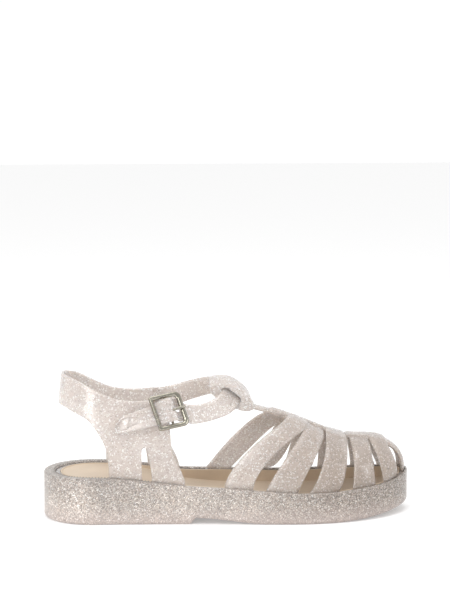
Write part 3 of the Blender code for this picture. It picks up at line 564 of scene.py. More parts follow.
def wide_strip() -> list[tuple[float, float]]:
    """Return a wide strip's section as (across, out) shares: domed outside, flat inside."""
    steps = 12
    edge, inner_reach, squareness = 0.40, 0.84, 7
    places = [-1 + 2 * i / steps for i in range(steps + 1)]
    outside = [(across, edge + (1 - edge) * (1 - abs(across) ** squareness) ** 0.5) for across in places]
    return outside + [(inner_reach - 2 * inner_reach * i / steps, 0.0) for i in range(steps + 1)]


@dataclass
class Sole:
    """The thick moulded sole with its rim, its recess, its knurled groove and its tread."""

    last: Last
    tread_round: float = 0.0028
    rim_round: float = 0.0012
    border: float = 0.0052
    tread_depth: float = 0.0008
    tread_pitch: float = 0.0078
    tread_radius: float = 0.0029
    tread_sunk: float = 0.98
    tread_clear: float = 1.25
    tread_level: float = 0.0005
    probe_drop: float = 0.02
    probe_reach: float = 0.05
    stud_pitch: float = 0.0021
    stud_radius: float = 0.00050
    stud_inset: float = 0.0010
    stud_lift: float = 0.00002
    stud_end: float = 0.36

    def build(self) -> bpy.types.Object:
        """Make the outsole as one solid.

        Returns:
            The sole.
        """
        last = self.last

        def rounding(place: float) -> float:
            return min(self.rim_round, 0.35 * last.rim_width(place))

        loops = [
            last.ring(lambda a: self.border + 0.0006, lambda a: last.underside(a) + self.tread_depth),
            last.ring(lambda a: self.border, last.underside),
        ]
        turns = 6
        for i in range(turns + 1):
            back = self.tread_round * (1 - sin(pi / 2 * i / turns))
            up = self.tread_round * (1 - cos(pi / 2 * i / turns))
            loops.append(last.ring(lambda a: back, lambda a: last.underside(a) + up))
        for i in range(turns + 1):
            turn = pi / 2 * i / turns
            loops.append(
                last.ring(
                    lambda a: rounding(a) * (1 - cos(turn)),
                    lambda a: last.rim_height(a) - rounding(a) * (1 - sin(turn)),
                )
            )
        for i in range(turns + 1):
            turn = pi / 2 * i / turns
            loops.append(
                last.ring(
                    lambda a: last.rim_width(a) - rounding(a) * 0.8 * (1 - sin(turn)),
                    lambda a: last.rim_height(a) - rounding(a) * 0.8 * (1 - cos(turn)),
                )
            )
        loops.append(last.ring(last.rim_width, last.floor_height))
        return stack("moulded_sole", loops)

    def tread(self, sole: bpy.types.Object, material: bpy.types.Material) -> bpy.types.Object:
        """Set the tread's lugs on the sole's underside.

        Args:
            sole: the sole they stand on.
            material: their material.

        Returns:
            The lugs as one mesh.
        """
        sizes = {
            "Pitch": self.tread_pitch,
            "Radius": self.tread_radius,
            "Depth": self.tread_depth,
            "Length": self.last.sole_length,
            "Width": self.last.ball_width,
        }
        make, given = Wiring.begin("tread lugs", "Sole", sizes)
        info = make.node("GeometryNodeObjectInfo", inputs={"Object": given.outputs["Sole"]})
        lengthwise = make.math("DIVIDE", given.outputs["Length"], given.outputs["Pitch"])
        crosswise = make.math("DIVIDE", given.outputs["Width"], given.outputs["Pitch"])
        grid = make.node(
            "GeometryNodeMeshGrid",
            inputs={
                "Size X": given.outputs["Length"],
                "Size Y": given.outputs["Width"],
                "Vertices X": lengthwise,
                "Vertices Y": crosswise,
            },
        )
        place = make.node("GeometryNodeInputPosition")

        def cast(x: float, y: float) -> bpy.types.Node:
            low = {0: place.outputs[0], 1: (x, y, -self.probe_drop)}
            start = make.node("ShaderNodeVectorMath", operation="ADD", inputs=low)
            return make.node(
                "GeometryNodeRaycast",
                inputs={
                    "Target Geometry": info.outputs["Geometry"],
                    "Source Position": start.outputs[0],
                    "Ray Direction": (0.0, 0.0, 1.0),
                    "Ray Length": self.probe_reach,
                },
            )

        # a lug stands only where all the ground around it is the recessed panel, clear of the border
        ray = cast(0.0, 0.0)
        keep = ray.outputs["Is Hit"]
        reach = self.tread_radius * self.tread_clear
        for turn in range(4):
            probe = cast(cos(pi / 2 * turn) * reach, sin(pi / 2 * turn) * reach)
            step = make.math("SUBTRACT", probe.outputs["Hit Distance"], ray.outputs["Hit Distance"])
            level = make.math("LESS_THAN", make.math("ABSOLUTE", step), self.tread_level)
            for met in (level, probe.outputs["Is Hit"]):
                both = make.node("FunctionNodeBooleanMath", operation="AND", inputs={0: keep, 1: met})
                keep = both.outputs[0]
        chosen = {"Mesh": grid.outputs["Mesh"], "Selection": keep}
        points = make.node("GeometryNodeMeshToPoints", inputs=chosen)
        points.mode = "VERTICES"
        seated = make.node(
            "GeometryNodeSetPosition",
            inputs={"Geometry": points.outputs[0], "Position": ray.outputs["Hit Position"]},
        )
        lug = make.node(
            "GeometryNodeMeshCylinder",
            inputs={
                "Vertices": 6,
                "Radius": given.outputs["Radius"],
                "Depth": make.math("MULTIPLY", given.outputs["Depth"], 2 * self.tread_sunk),
            },
        )
        spread = {"Points": seated.outputs[0], "Instance": lug.outputs["Mesh"]}
        set_on = make.node("GeometryNodeInstanceOnPoints", inputs=spread)
        make.finish(set_on.outputs[0], material)
        return make.run("tread_lugs", {"Sole": sole})

    def knurl(self, material: bpy.types.Material) -> bpy.types.Object:
        """Set the row of fine studs along the rim's inner edge round the heel.

        Args:
            material: their material, whose dark tone is painted shade.

        Returns:
            The studs as one mesh.
        """
        last = self.last

        def inset(place: float) -> float:
            return last.rim_width(place) - self.stud_inset

        def height(place: float) -> float:
            return last.rim_height(place) + self.stud_lift

        line = [
            point
            for point, (a, *_) in zip(last.ring(inset, height), last.edge)
            if a <= self.stud_end
        ]
        jump = 0.02
        start = next(i for i in range(len(line) - 1) if (line[i + 1] - line[i]).length > jump)
        line = line[start + 1 :] + line[: start + 1]
        mesh = bpy.data.meshes.new("knurl_line")
        mesh.from_pydata(line, [(i, i + 1) for i in range(len(line) - 1)], [])
        guide = bpy.data.objects.new("knurl_line", mesh)
        bpy.context.scene.collection.objects.link(guide)
        sizes = {"Pitch": self.stud_pitch, "Radius": self.stud_radius}
        make, given = Wiring.begin("knurl studs", "Line", sizes)
        info = make.node("GeometryNodeObjectInfo", inputs={"Object": given.outputs["Line"]})
        curve = make.node("GeometryNodeMeshToCurve", inputs={"Mesh": info.outputs["Geometry"]})
        spaced = make.node("GeometryNodeResampleCurve", inputs={"Curve": curve.outputs[0]})
        spaced.mode = "LENGTH"
        make.link(given.outputs["Pitch"], spaced.inputs["Length"])
        stud = make.node(
            "GeometryNodeMeshIcoSphere", inputs={"Radius": given.outputs["Radius"], "Subdivisions": 2}
        )
        spread = {"Points": spaced.outputs[0], "Instance": stud.outputs["Mesh"]}
        set_on = make.node("GeometryNodeInstanceOnPoints", inputs=spread)
        make.finish(set_on.outputs[0], material)
        studs = make.run("rim_studs", {"Line": guide})
        bpy.data.objects.remove(guide, do_unlink=True)
        return studs


@dataclass
class Wiring:
    """A small helper that wires the nodes of a tree."""

    tree: bpy.types.NodeTree

    @classmethod
    def begin(cls, name: str, thing: str, sizes: dict[str, float]) -> tuple["Wiring", bpy.types.Node]:
        """Start a Geometry Nodes tree.

        Args:
            name: the tree's name.
            thing: the name of its object input.
            sizes: its other inputs by name, with their values.

        Returns:
            The helper and the tree's input node.
        """
        tree = bpy.data.node_groups.new(name, "GeometryNodeTree")
        tree.interface.new_socket(thing, in_out="INPUT", socket_type="NodeSocketObject")
        for size, value in sizes.items():
            socket = tree.interface.new_socket(size, in_out="INPUT", socket_type="NodeSocketFloat")
            socket.default_value = value
        tree.interface.new_socket("Geometry", in_out="OUTPUT", socket_type="NodeSocketGeometry")
        wiring = cls(tree)
        return wiring, wiring.node("NodeGroupInput")

    def node(self, kind: str, inputs: dict | None = None, **settings: object) -> bpy.types.Node:
        """Add a node.

        Args:
            kind: the node's type.
            inputs: values or outputs for its inputs, by name or place.
            settings: the node's own properties.

        Returns:
            The node.
        """
        made = self.tree.nodes.new(kind)
        for name, value in settings.items():
            setattr(made, name, value)
        for key, value in (inputs or {}).items():
            if isinstance(value, bpy.types.NodeSocket):
                self.link(value, made.inputs[key])
            else:
                made.inputs[key].default_value = value
        return made

    def link(self, source: bpy.types.NodeSocket, target: bpy.types.NodeSocket) -> None:
        """Link an output to an input."""
        self.tree.links.new(source, target)

    def math(self, operation: str, first: object, second: object = 0.0) -> bpy.types.NodeSocket:
        """Add a Math node and return its output."""
        return self.node("ShaderNodeMath", operation=operation, inputs={0: first, 1: second}).outputs[0]

    def finish(self, geometry: bpy.types.NodeSocket, material: bpy.types.Material) -> None:
        """End the tree with real geometry, smooth faces and one material."""
        real = self.node("GeometryNodeRealizeInstances", inputs={"Geometry": geometry})
        painted = self.node("GeometryNodeSetMaterial", inputs={"Geometry": real.outputs[0]})
        painted.inputs["Material"].default_value = material
        out = self.node("NodeGroupOutput")
        self.link(painted.outputs[0], out.inputs[0])

    def run(self, name: str, things: dict[str, bpy.types.Object]) -> bpy.types.Object:
        """Run the tree on an empty mesh and keep its result as a plain mesh.

        Args:
            name: the new object's name.
            things: the objects for its object inputs, by name.

        Returns:
            The new object.
        """
        made = bpy.data.objects.new(name, bpy.data.meshes.new(name))
        bpy.context.scene.collection.objects.link(made)
        step = made.modifiers.new("nodes", "NODES")
        step.node_group = self.tree
        for socket in self.tree.interface.items_tree:
            if socket.in_out == "INPUT" and socket.name in things:
                step[socket.identifier] = things[socket.name]
        bpy.context.view_layer.update()
        apply_modifiers(made)
        return made


@dataclass
class Insole:
    """The soft tan insole, a tray with an upturned edge that lies in the recess."""

    last: Last
    lip: float = 0.0012
    lip_drop: float = 0.0007
    rounding: float = 0.0005

    def build(self) -> bpy.types.Object:
        """Make the insole as one solid with a softly rounded edge.

        Returns:
            The insole.
        """
        last = self.last

        def side(place: float) -> float:
            return last.rim_width(place) + last.clearance * 2 + last.foot_band_wall

        def under(place: float) -> float:
            return last.floor_height(place) + last.clearance

        def top(place: float) -> float:
            return last.rim_height(place) - self.lip_drop

        loops = [last.ring(side, under)]
        turns = 4
        for i in range(2 * turns + 1):
            turn = pi * i / (2 * turns)
            loops.append(
                last.ring(
                    lambda a: side(a) + self.lip / 2 * (1 - cos(turn)),
                    lambda a: top(a) - self.rounding * (1 - sin(turn)),
                )
            )
        for i in range(turns + 1):
            turn = pi / 2 * i / turns
            loops.append(
                last.ring(
                    lambda a: side(a) + self.lip + self.rounding * (1 - cos(turn)),
                    lambda a: under(a) + last.insole_thickness + self.rounding * (1 - sin(turn)),
                )
            )
        return stack("soft_insole", loops)


@dataclass
class Vamp:
    """The woven front of the upper: foot band, straps, spine and strap tunnel, moulded whole."""

    last: Last
    wall: float = 0.0022
    overlap: float = 0.0014
    under_sink: float = 0.0003
    strap_foot_width: float = 0.0215
    overlap_span: tuple[float, float] = (0.20, 0.50)
    overlap_ramp: float = 0.004
    spine_start: float = 0.545
    spine_sink: float = 0.0005
    spine_width: float = 0.0102
    spine_toe_width: float = 0.0220
    spine_spread: tuple[float, float] = (0.74, 0.96)
    spine_arch: float = 0.080
    toe_arch: float = 0.034
    tunnel_length: float = 0.0315
    tunnel_rise: float = 0.0213
    tunnel_width: float = 0.016
    tunnel_opening: float = 0.0060
    tunnel_play: float = 0.0013
    tunnel_arch: float = 0.030
    tunnel_lean: float = 0.25
    tunnel_foot: float = 0.575
    strap_width: float = 0.0138
    straps: tuple[VampStrap, ...] = (
        VampStrap("rear", 0.519, 0.690, 0.582, 0.90, 0.80, 0.70, 1.50, 0.45, True),
        VampStrap("second", 0.634, 0.737, 0.702, 1.00, 0.84, 0.62, 1.10, 0.35, False),
        VampStrap("third", 0.747, 0.795, 0.809, 0.95, 0.78, 0.70, 0.65, 1.50, True),
        VampStrap("fourth", 0.859, 0.861, 0.893, 0.78, 0.66, 0.63, 1.80, 1.40, False),
        VampStrap("toe", 0.937, 0.911, 0.953, 0.52, 0.58, 0.56, 2.00, 1.30, True),
    )
    instep: VampStrap = VampStrap("instep", 0.0, 0.655, 0.484, 0.84, 0.90, 0.68, 1.25, 0.95, False)
    tunnel_shape: tuple[EdgePoint, ...] = (
        EdgePoint(1.00, 0.10),
        EdgePoint(0.935, 0.29),
        EdgePoint(0.885, 0.47),
        EdgePoint(0.80, 0.64),
        EdgePoint(0.65, 0.82),
        EdgePoint(0.47, 0.96),
        EdgePoint(0.30, 1.00),
        EdgePoint(0.10, 0.98),
        EdgePoint(0.00, 0.88),
        EdgePoint(0.02, 0.71),
        EdgePoint(0.15, 0.52),
        EdgePoint(0.34, 0.35),
        EdgePoint(0.58, 0.17),
        EdgePoint(0.84, 0.03),
    )

    def foot_band(self) -> bpy.types.Object:
        """Make the band that joins the straps' feet in the recess, between rim and insole."""
        last = self.last

        def out(place: float) -> float:
            return last.rim_width(place) + last.clearance

        def into(place: float) -> float:
            return out(place) + last.foot_band_wall

        def low(place: float) -> float:
            return last.floor_height(place) + last.clearance

        def high(place: float) -> float:
            return last.rim_height(place) - last.foot_band_drop

        loops = [last.ring(out, low), last.ring(out, high), last.ring(into, high), last.ring(into, low)]
        return sweep("foot_band", list(zip(*loops)), closed=True)

    def width(self, strap: VampStrap, rise: float) -> float:
        """Return a strap's width along the foot at a share of its height."""
        bulge = strap.middle - (strap.foot + strap.peak) / 2
        return self.strap_foot_width * (mix(strap.foot, strap.peak, rise) + 4 * rise * (1 - rise) * bulge)

    def strap(self, strap: VampStrap, first: float, last_angle: float, steps: int) -> bpy.types.Object:
        """Make one strap of the vamp.

        Args:
            strap: its places and widths.
            first: the angle it starts at, 0 at the outer rim.
            last_angle: the angle it ends at, pi at the inner rim.
            steps: how many steps it takes.

        Returns:
            The strap, with feet below the rim where it starts or ends there.
        """
        last = self.last
        sections = []
        for step in range(-1, steps + 2):
            if (step < 0 and first > 0) or (step > steps and last_angle < pi):
                continue
            angle = mix(first, last_angle, min(max(step / steps, 0.0), 1.0))
            rise = max(sin(angle), 0.0) ** (2 / last.section_power)
            foot = strap.outer_foot if angle < pi / 2 else strap.inner_foot
            lean = strap.lean if angle < pi / 2 else strap.inner_lean
            place = mix(foot, strap.top, rise**lean)
            half = self.width(strap, rise) / 2
            lift = self.overlap * (1 - ease(abs(angle - pi / 2), *self.overlap_span)) if strap.over else 0.0
            sink = 0.0 if strap.over else -self.under_sink
            drop = last.foot_sink if step < 0 or step > steps else 0.0
            section = []
            for across, out in STRIP_OUTSIDE + STRIP_INSIDE:
                x = min(last.x_at(place) + across * half, last.tip - MILLIMETRE)
                raised = self.wall * out + lift if out else sink
                spot = last.vamp_point(x, angle) + last.vamp_normal(x, angle) * raised
                section.append(spot - Vector((0, 0, drop)))
            sections.append(section)
        return sweep(strap.name, sections)

    def spine_lift(self, x: float) -> float:
        """Return how far the spine is raised at x, over the straps that pass under it."""
        lift = 0.0
        for strap in (*self.straps, self.instep):
            if not strap.over:
                reach = self.strap_foot_width * strap.peak / 2
                off = abs(x - self.last.x_at(strap.top))
                lift = max(lift, 1 - ease(off, reach, reach + self.overlap_ramp))
        return self.overlap * lift

    def spine(self) -> bpy.types.Object:
        """Make the strip along the ridge, from the tunnel over the toe down to the foot band."""
        last = self.last
        start, turn = last.x_at(self.spine_start), last.tip - last.toe_curl
        straight, curled = 60, 28
        places = [mix(start, turn, i / straight) for i in range(straight + 1)]
        power = 2 / last.curl_power
        places += [turn + last.toe_curl * sin(pi / 2 * i / curled) ** power for i in range(1, curled + 1)]
        path = [Vector((x, last.ridge_y(x), last.ridge_height(x))) for x in places]
        path.append(path[-1] - Vector((0, 0, last.foot_sink)))
        sections = []
        for i, point in enumerate(path):
            run = path[min(i + 1, len(path) - 1)] - path[max(i - 1, 0)]
            outward = Vector((-run.z, 0, run.x)).normalized()
            arch = mix(self.spine_arch, self.toe_arch, max(outward.x, 0.0))
            spread = ease(last.along_of(point.x), *self.spine_spread)
            half = mix(self.spine_width, self.spine_toe_width, spread) / 2
            wall = self.wall + self.spine_lift(point.x)
            section = []
            for across, out in wide_strip():
                reach = half * across
                raised = wall * out if out else -self.spine_sink
                bent = reach * reach / (2 * arch)
                section.append(point + Vector((0, -reach, 0)) + outward * (raised - bent))
            sections.append(section)
        return sweep("spine", sections)

    def tunnel_profile(self) -> Loop:
        """Return the tunnel's outer side outline in x and z, from its low front corner round."""
        foot = self.last.x_at(self.tunnel_foot)
        corner = Vector((foot - self.tunnel_length, self.last.ridge_height(foot)))
        length, rise = self.tunnel_length, self.tunnel_rise
        shape = [corner + Vector((p.along * length, p.up * rise)) for p in self.tunnel_shape]
        return smooth_path(shape + [shape[0]], 5)[:-1]

    def tunnel_inside(self, count: int, edges: tuple[Vector, Vector]) -> Loop:
        """Return the tunnel's opening in x and z, an oval round the ankle strap at the instep.

        Args:
            count: how many points it has.
            edges: the strap's upper and lower edge there.

        Returns:
            The opening's points, which start nearest the outline's first.
        """
        upper, lower = edges
        middle = (upper + lower) / 2
        along = (lower - upper).normalized()
        outward = Vector((-along.z, 0, along.x))
        points = []
        squareness = 0.8
        half_width = self.strap_width / 2 + self.tunnel_play
        for i in range(count):
            turn = 2 * pi * i / count
            reach, rise = cos(turn), sin(turn)
            spot = middle + along * copysign(abs(reach) ** squareness, reach) * half_width
            spot = spot + outward * copysign(abs(rise) ** squareness, rise) * self.tunnel_opening / 2
            points.append(Vector((spot.x, spot.z)))
        first = self.tunnel_profile()[0]
        start = min(range(count), key=lambda i: (points[i] - first).length)
        return points[start:] + points[:start]

    def tunnel(self, edges: tuple[Vector, Vector]) -> bpy.types.Object:
        """Make the tunnel that holds the ankle strap over the instep, narrowing to the spine at its front.

        Args:
            edges: the ankle strap's upper and lower edge in it.

        Returns:
            The tunnel.
        """
        path = self.tunnel_profile()
        inside = self.tunnel_inside(len(path), edges)
        foot = self.last.x_at(self.tunnel_foot)
        shape = bmesh.new()
        rows = []
        steps = 20
        for step in range(steps + 1):
            loops = []
            for loop in (path, inside):
                verts = []
                for p in loop:
                    slim = ease(p.x, foot - self.tunnel_length * 0.45, foot)
                    y = mix(self.tunnel_width, self.spine_width, slim) * (step / steps - 0.5)
                    arch = y * y / (2 * self.tunnel_arch)
                    verts.append(shape.verts.new((p.x, y, p.y - arch + y * self.tunnel_lean)))
                loops.append(verts)
            rows.append(loops)
        count = len(path)
        for a, b in zip(rows, rows[1:]):
            for loop_a, loop_b in zip(a, b):
                for i in range(count):
                    shape.faces.new((loop_a[i - 1], loop_a[i], loop_b[i], loop_b[i - 1]))
        for outer, inner in (rows[0], rows[-1]):
            for i in range(count):
                shape.faces.new((outer[i - 1], outer[i], inner[i], inner[i - 1]))
        return finish_mesh("tunnel", shape)

    def build(self, edges: tuple[Vector, Vector]) -> bpy.types.Object:
        """Melt foot band, straps, spine and tunnel into one moulded piece.

        Args:
            edges: the ankle strap's upper and lower edge in the tunnel.

        Returns:
            The front of the upper.
        """
        parts = [self.strap(strap, 0.0, pi, 120) for strap in self.straps]
        parts.append(self.strap(self.instep, pi / 2, pi, 60))
        parts += [self.spine(), self.tunnel(edges)]
        front = combine(self.foot_band(), parts, "UNION")
        front.name = "woven_vamp"
        return crisp(front)


@dataclass
class Buckle:
    """The cast buckle: its place on the strap, its frame with the centre bar, and its prong."""

    last: Last
    length: float = 0.0235
    height: float = 0.0250
    depth: float = 0.0026
    front_bar: float = 0.0034
    rear_bar: float = 0.0025
    side_bar: float = 0.0030
    front_corner: float = 0.0042
    rear_corner: float = 0.0014
    hinge_radius: float = 0.0009
    hinge_drop: float = 0.0007
    play: float = 0.00036
    prong_width: float = 0.0020
    prong_wall: float = 0.0008
    prong_reach: float = 0.0012
    place: EdgePoint = EdgePoint(0.866, 0.655)
    stand: float = 0.0045
    along: tuple[float, float, float] = (0.905, 0.410, 0.110)
    up: tuple[float, float, float] = (-0.270, 0.430, 0.860)
    section: tuple[tuple[float, float], ...] = (
        (0.0, -0.45),
        (0.0, 0.45),
        (0.06, 0.72),
        (0.20, 0.93),
        (0.38, 1.0),
        (0.56, 1.0),
        (0.74, 0.86),
        (0.96, 0.40),
        (1.0, 0.25),
        (1.0, -0.45),
        (0.9, -0.78),
        (0.7, -1.0),
        (0.3, -1.0),
        (0.1, -0.78),
    )

    def axes(self) -> tuple[Vector, Vector, Vector, Vector]:
        """Return the buckle's centre and its directions along the strap, up across it and outward."""
        last = self.last
        place = last.quarter_place(self.place)
        centre = last.rear_point(place.x, Side.OUTER, place.y) - Vector((0, self.stand, 0))
        along = Vector(self.along).normalized()
        outward = along.cross(Vector(self.up)).normalized()
        return centre, along, outward.cross(along), outward

    def at(self, s: float, t: float, n: float) -> Vector:
        """Return a point of the buckle's own frame: along the strap, up across it and outward."""
        centre, along, up, outward = self.axes()
        return centre + along * s + up * t + outward * n

    def hinge_tube(self, name: str, start: float, end: float, radius: float) -> bpy.types.Object:
        """Make a round bar along the hinge line."""
        return tube(name, self.at(0, start, -self.hinge_drop), self.at(0, end, -self.hinge_drop), radius)

    def box(self, span: tuple[float, float], half_width: float, half_depth: float) -> bpy.types.Object:
        """Make a box over a span along the strap."""
        corners = ((-1, -1), (1, -1), (1, 1), (-1, 1))
        return sweep("box", [[self.at(s, t * half_width, n * half_depth) for t, n in corners] for s in span])

    def outline(
        self, rear: float, front: float, rear_corner: float, front_corner: float, side: float
    ) -> list:
        """Return a rounded outline between half lengths.

        Args:
            rear: half length to the rear.
            front: half length to the front.
            rear_corner: radius of the rear corners.
            front_corner: radius of the front corners.
            side: half height.

        Returns:
            The outline's points as (along, up).
        """
        steps = 12
        points = []
        for s, t, radius, start in (
            (front, side, front_corner, 0.0),
            (-rear, side, rear_corner, pi / 2),
            (-rear, -side, rear_corner, pi),
            (front, -side, front_corner, 3 * pi / 2),
        ):
            middle = (s - copysign(radius, s), t - copysign(radius, t))
            for i in range(steps + 1):
                turn = start + pi / 2 * i / steps
                points.append((middle[0] + radius * cos(turn), middle[1] + radius * sin(turn)))
        return points

    def frame(self) -> bpy.types.Object:
        """Make the cast frame with its centre bar."""
        half_length, half_height = self.length / 2, self.height / 2
        outer = self.outline(half_length, half_length, self.rear_corner, self.front_corner, half_height)
        inner = self.outline(
            half_length - self.rear_bar,
            half_length - self.front_bar,
            self.rear_corner / 2,
            self.front_corner / 2,
            half_height - self.side_bar,
        )
        sections = []
        for (out_s, out_t), (in_s, in_t) in zip(outer, inner):
            sections.append(
                [
                    self.at(mix(out_s, in_s, share), mix(out_t, in_t, share), deep * self.depth / 2)
                    for share, deep in self.section
                ]
            )
        made = sweep("cast_buckle", sections, closed=True)
        reach = half_height - self.side_bar / 2
        made = combine(made, [self.hinge_tube("hinge", -reach, reach, self.hinge_radius)], "UNION")
        return crisp(made, pi / 4)

    def prong(self) -> bpy.types.Object:
        """Make the prong: an eye round the centre bar and a pin that rests on the front bar."""
        last = self.last
        bore = self.hinge_radius + self.play
        half = self.prong_width / 2
        eye = self.hinge_tube("prong", -half, half, bore + self.prong_wall)
        rest = self.depth / 2 + last.clearance + half
        front = self.length / 2 - self.front_bar / 2
        knots = [
            Vector((bore * 0.9, bore * 0.55 - self.hinge_drop, 0.95)),
            Vector((front * 0.45, rest * 0.62, 1.0)),
            Vector((front * 0.85, rest, 0.95)),
            Vector((front + self.prong_reach * 0.4, rest, 0.85)),
            Vector((front + self.prong_reach, rest, 0.62)),
        ]
        turns = [2 * pi * i / 24 for i in range(24)]
        sections = []
        for s, n, size in smooth_path(knots, 8):
            sections.append([self.at(s, half * size * cos(t), n + half * size * sin(t)) for t in turns])
        made = combine(eye, [sweep("pin", sections)], "UNION")
        made = combine(made, [self.hinge_tube("bore", -2 * half, 2 * half, bore)], "DIFFERENCE")
        made.name = "buckle_pin"
        return crisp(made, pi / 4)


@dataclass
class Rear:
    """The rear of the upper: heel band, quarters with their legs, knuckles and ankle strap, moulded whole."""

    last: Last
    buckle: Buckle
    wall: float = 0.0022
    strap_width: float = 0.0138
    strap_wall: float = 0.0020
    tip_length: float = 0.0365
    tip_fall: float = 0.0105
    tip_stand: float = 0.004
    tip_rest: float = 0.28
    tip_slant: float = 0.25
    hole: tuple[float, float] = (0.0010, 0.0090)
    hole_depth: float = 0.006
    slot: float = 0.0045
    slot_depth: float = 0.005
    knuckle_wall: float = 0.0010
    knuckle_length: float = 0.0044
    keeper_root: tuple[tuple[float, float], ...] = ((0.014, 0.5), (0.009, 0.8))
    keeper_seat: float = 0.0022
    spare_height: float = 1.04
    spare_length: float = 1.02
    ring_front: float = 0.85
    crest: int = 4
    voxel: float = 0.00050
    softening: int = 7
    steps: int = 8
    panel_depth: float = 0.34
    panel_width: float = 0.66
    panel_edge: tuple[float, float] = (0.10, 0.02)
    panel_fade: tuple[float, float] = (0.05, 0.3)
    rib_edge: tuple[float, float] = (0.72, 0.88)
    rib_height: float = 0.13
    ribs: int = 4
    top: tuple[EdgePoint, ...] = (
        EdgePoint(-0.06, 0.99),
        EdgePoint(0.115, 0.985),
        EdgePoint(0.225, 0.945),
        EdgePoint(0.31, 0.885),
        EdgePoint(0.39, 0.825),
        EdgePoint(0.50, 0.765),
        EdgePoint(0.62, 0.745),
        EdgePoint(0.74, 0.750),
        EdgePoint(0.80, 0.755),
    )
    front: tuple[EdgePoint, ...] = (
        EdgePoint(0.852, 0.70),
        EdgePoint(0.868, 0.58),
        EdgePoint(0.874, 0.42),
        EdgePoint(0.884, 0.27),
        EdgePoint(0.915, 0.15),
        EdgePoint(0.950, 0.05),
        EdgePoint(0.975, -0.06),
        EdgePoint(0.975, -0.175),
    )
    front_leg_rear: tuple[EdgePoint, ...] = (
        EdgePoint(0.746, -0.175),
        EdgePoint(0.746, -0.04),
        EdgePoint(0.734, 0.10),
        EdgePoint(0.712, 0.262),
    )
    rear_leg_front: tuple[EdgePoint, ...] = (
        EdgePoint(0.674, 0.262),
        EdgePoint(0.674, 0.10),
        EdgePoint(0.678, -0.04),
        EdgePoint(0.678, -0.175),
    )
    rear_leg_rear: tuple[EdgePoint, ...] = (
        EdgePoint(0.447, -0.175),
        EdgePoint(0.447, 0.02),
        EdgePoint(0.441, 0.17),
        EdgePoint(0.419, 0.31),
        EdgePoint(0.365, 0.45),
        EdgePoint(0.301, 0.56),
        EdgePoint(0.205, 0.63),
        EdgePoint(0.115, 0.68),
        EdgePoint(-0.06, 0.72),
    )
    ring_rows: tuple[RingRow, ...] = (
        RingRow(0.130, -0.895, 0.701, 0.170, -1.100, 0.511, 1.06),
        RingRow(0.225, -0.820, 0.688, 0.295, -0.985, 0.528, 0.99),
        RingRow(0.325, -0.70, 0.722, 0.435, -0.80, 0.582, 1.07),
        RingRow(0.395, -0.36, 0.785, 0.520, -0.39, 0.650, 1.12),
        RingRow(0.405, 0.00, 0.852, 0.530, 0.00, 0.712, 1.13),
        RingRow(0.378, 0.34, 0.880, 0.492, 0.40, 0.733, 1.10),
        RingRow(0.310, 0.62, 0.882, 0.405, 0.74, 0.717, 1.09),
        RingRow(0.185, 0.88, 0.833, 0.245, 0.99, 0.648, 1.04),
        RingRow(0.060, 1.02, 0.778, 0.100, 1.12, 0.563, 1.13),
        RingRow(-0.070, 1.075, 0.748, -0.050, 1.15, 0.430, 1.61),
    )
    tip_rows: tuple[tuple[float, float], ...] = (
        (0.0, 0.34),
        (0.07, 0.66),
        (0.18, 0.90),
        (0.34, 1.0),
        (0.50, 1.02),
    )
    wave: tuple[tuple[float, float, float], ...] = (
        (-0.50, 0.0, 1.02),
        (-0.40, 0.02, 1.08),
        (-0.24, 0.42, 1.20),
        (-0.10, 0.93, 1.22),
        (0.0, 1.0, 1.22),
        (0.10, 0.93, 1.22),
        (0.20, 0.42, 1.22),
        (0.325, 0.02, 1.20),
        (0.50, 0.0, 1.12),
    )

    def rear_wall(self) -> bpy.types.Object:
        """Make the wall of heel band and quarters, before its side outline is cut."""
        last = self.last
        foot = last.foot_sink
        top = last.heel_height + last.collar_height * self.spare_height
        front = -last.sole_length / 2 + last.quarter_span * self.spare_length
        round_steps, high_steps = 48, 30
        inner, outer = [], []
        for high in range(high_steps + 1):
            share = high / high_steps
            back = last.rear_back(mix(last.heel_height - foot, top, share))
            line = []
            for side, steps in (
                (Side.OUTER, range(round_steps, -1, -1)),
                (Side.INNER, range(1, round_steps + 1)),
            ):
                for step in steps:
                    x = mix(back, front, 1 - cos(pi / 2 * step / round_steps))
                    low = last.rim_height(last.along_of(x)) - foot
                    line.append(last.rear_point(x, side, mix(low, top, share)))
            inner.append(line)
            outer.append([point + self.level_outward(line, i) * self.wall for i, point in enumerate(line)])
        sections = []
        for i in range(len(inner[0])):
            sections.append([line[i] for line in inner] + [line[i] for line in outer][::-1])
        return sweep("rear_wall", sections)

    @staticmethod
    def level_outward(line: Loop, i: int) -> Vector:
        """Return the level outward normal of a rear line at one of its points."""
        run = line[min(i + 1, len(line) - 1)] - line[max(i - 1, 0)]
        return Vector((-run.y, run.x, 0)).normalized()

    def outline(self) -> Loop:
        """Return the closed side outline of heel band, quarters and legs."""
        place = self.last.quarter_place
        steps, crown_steps = 8, 14
        top = smooth_path([place(p) for p in (*self.top, *self.front)], steps)
        slot = smooth_path([place(p) for p in self.front_leg_rear], steps)
        crown_left, crown_right = place(self.rear_leg_front[0]), place(self.front_leg_rear[-1])
        middle, radius = (crown_left + crown_right) / 2, (crown_right - crown_left).length / 2
        turns = [pi * i / crown_steps for i in range(1, crown_steps)]
        crown = [middle + Vector((cos(t), sin(t))) * radius for t in turns]
        rear_front = smooth_path([place(p) for p in self.rear_leg_front], steps)
        rear = smooth_path([place(p) for p in self.rear_leg_rear], steps)
        return top + slot + crown + rear_front + rear

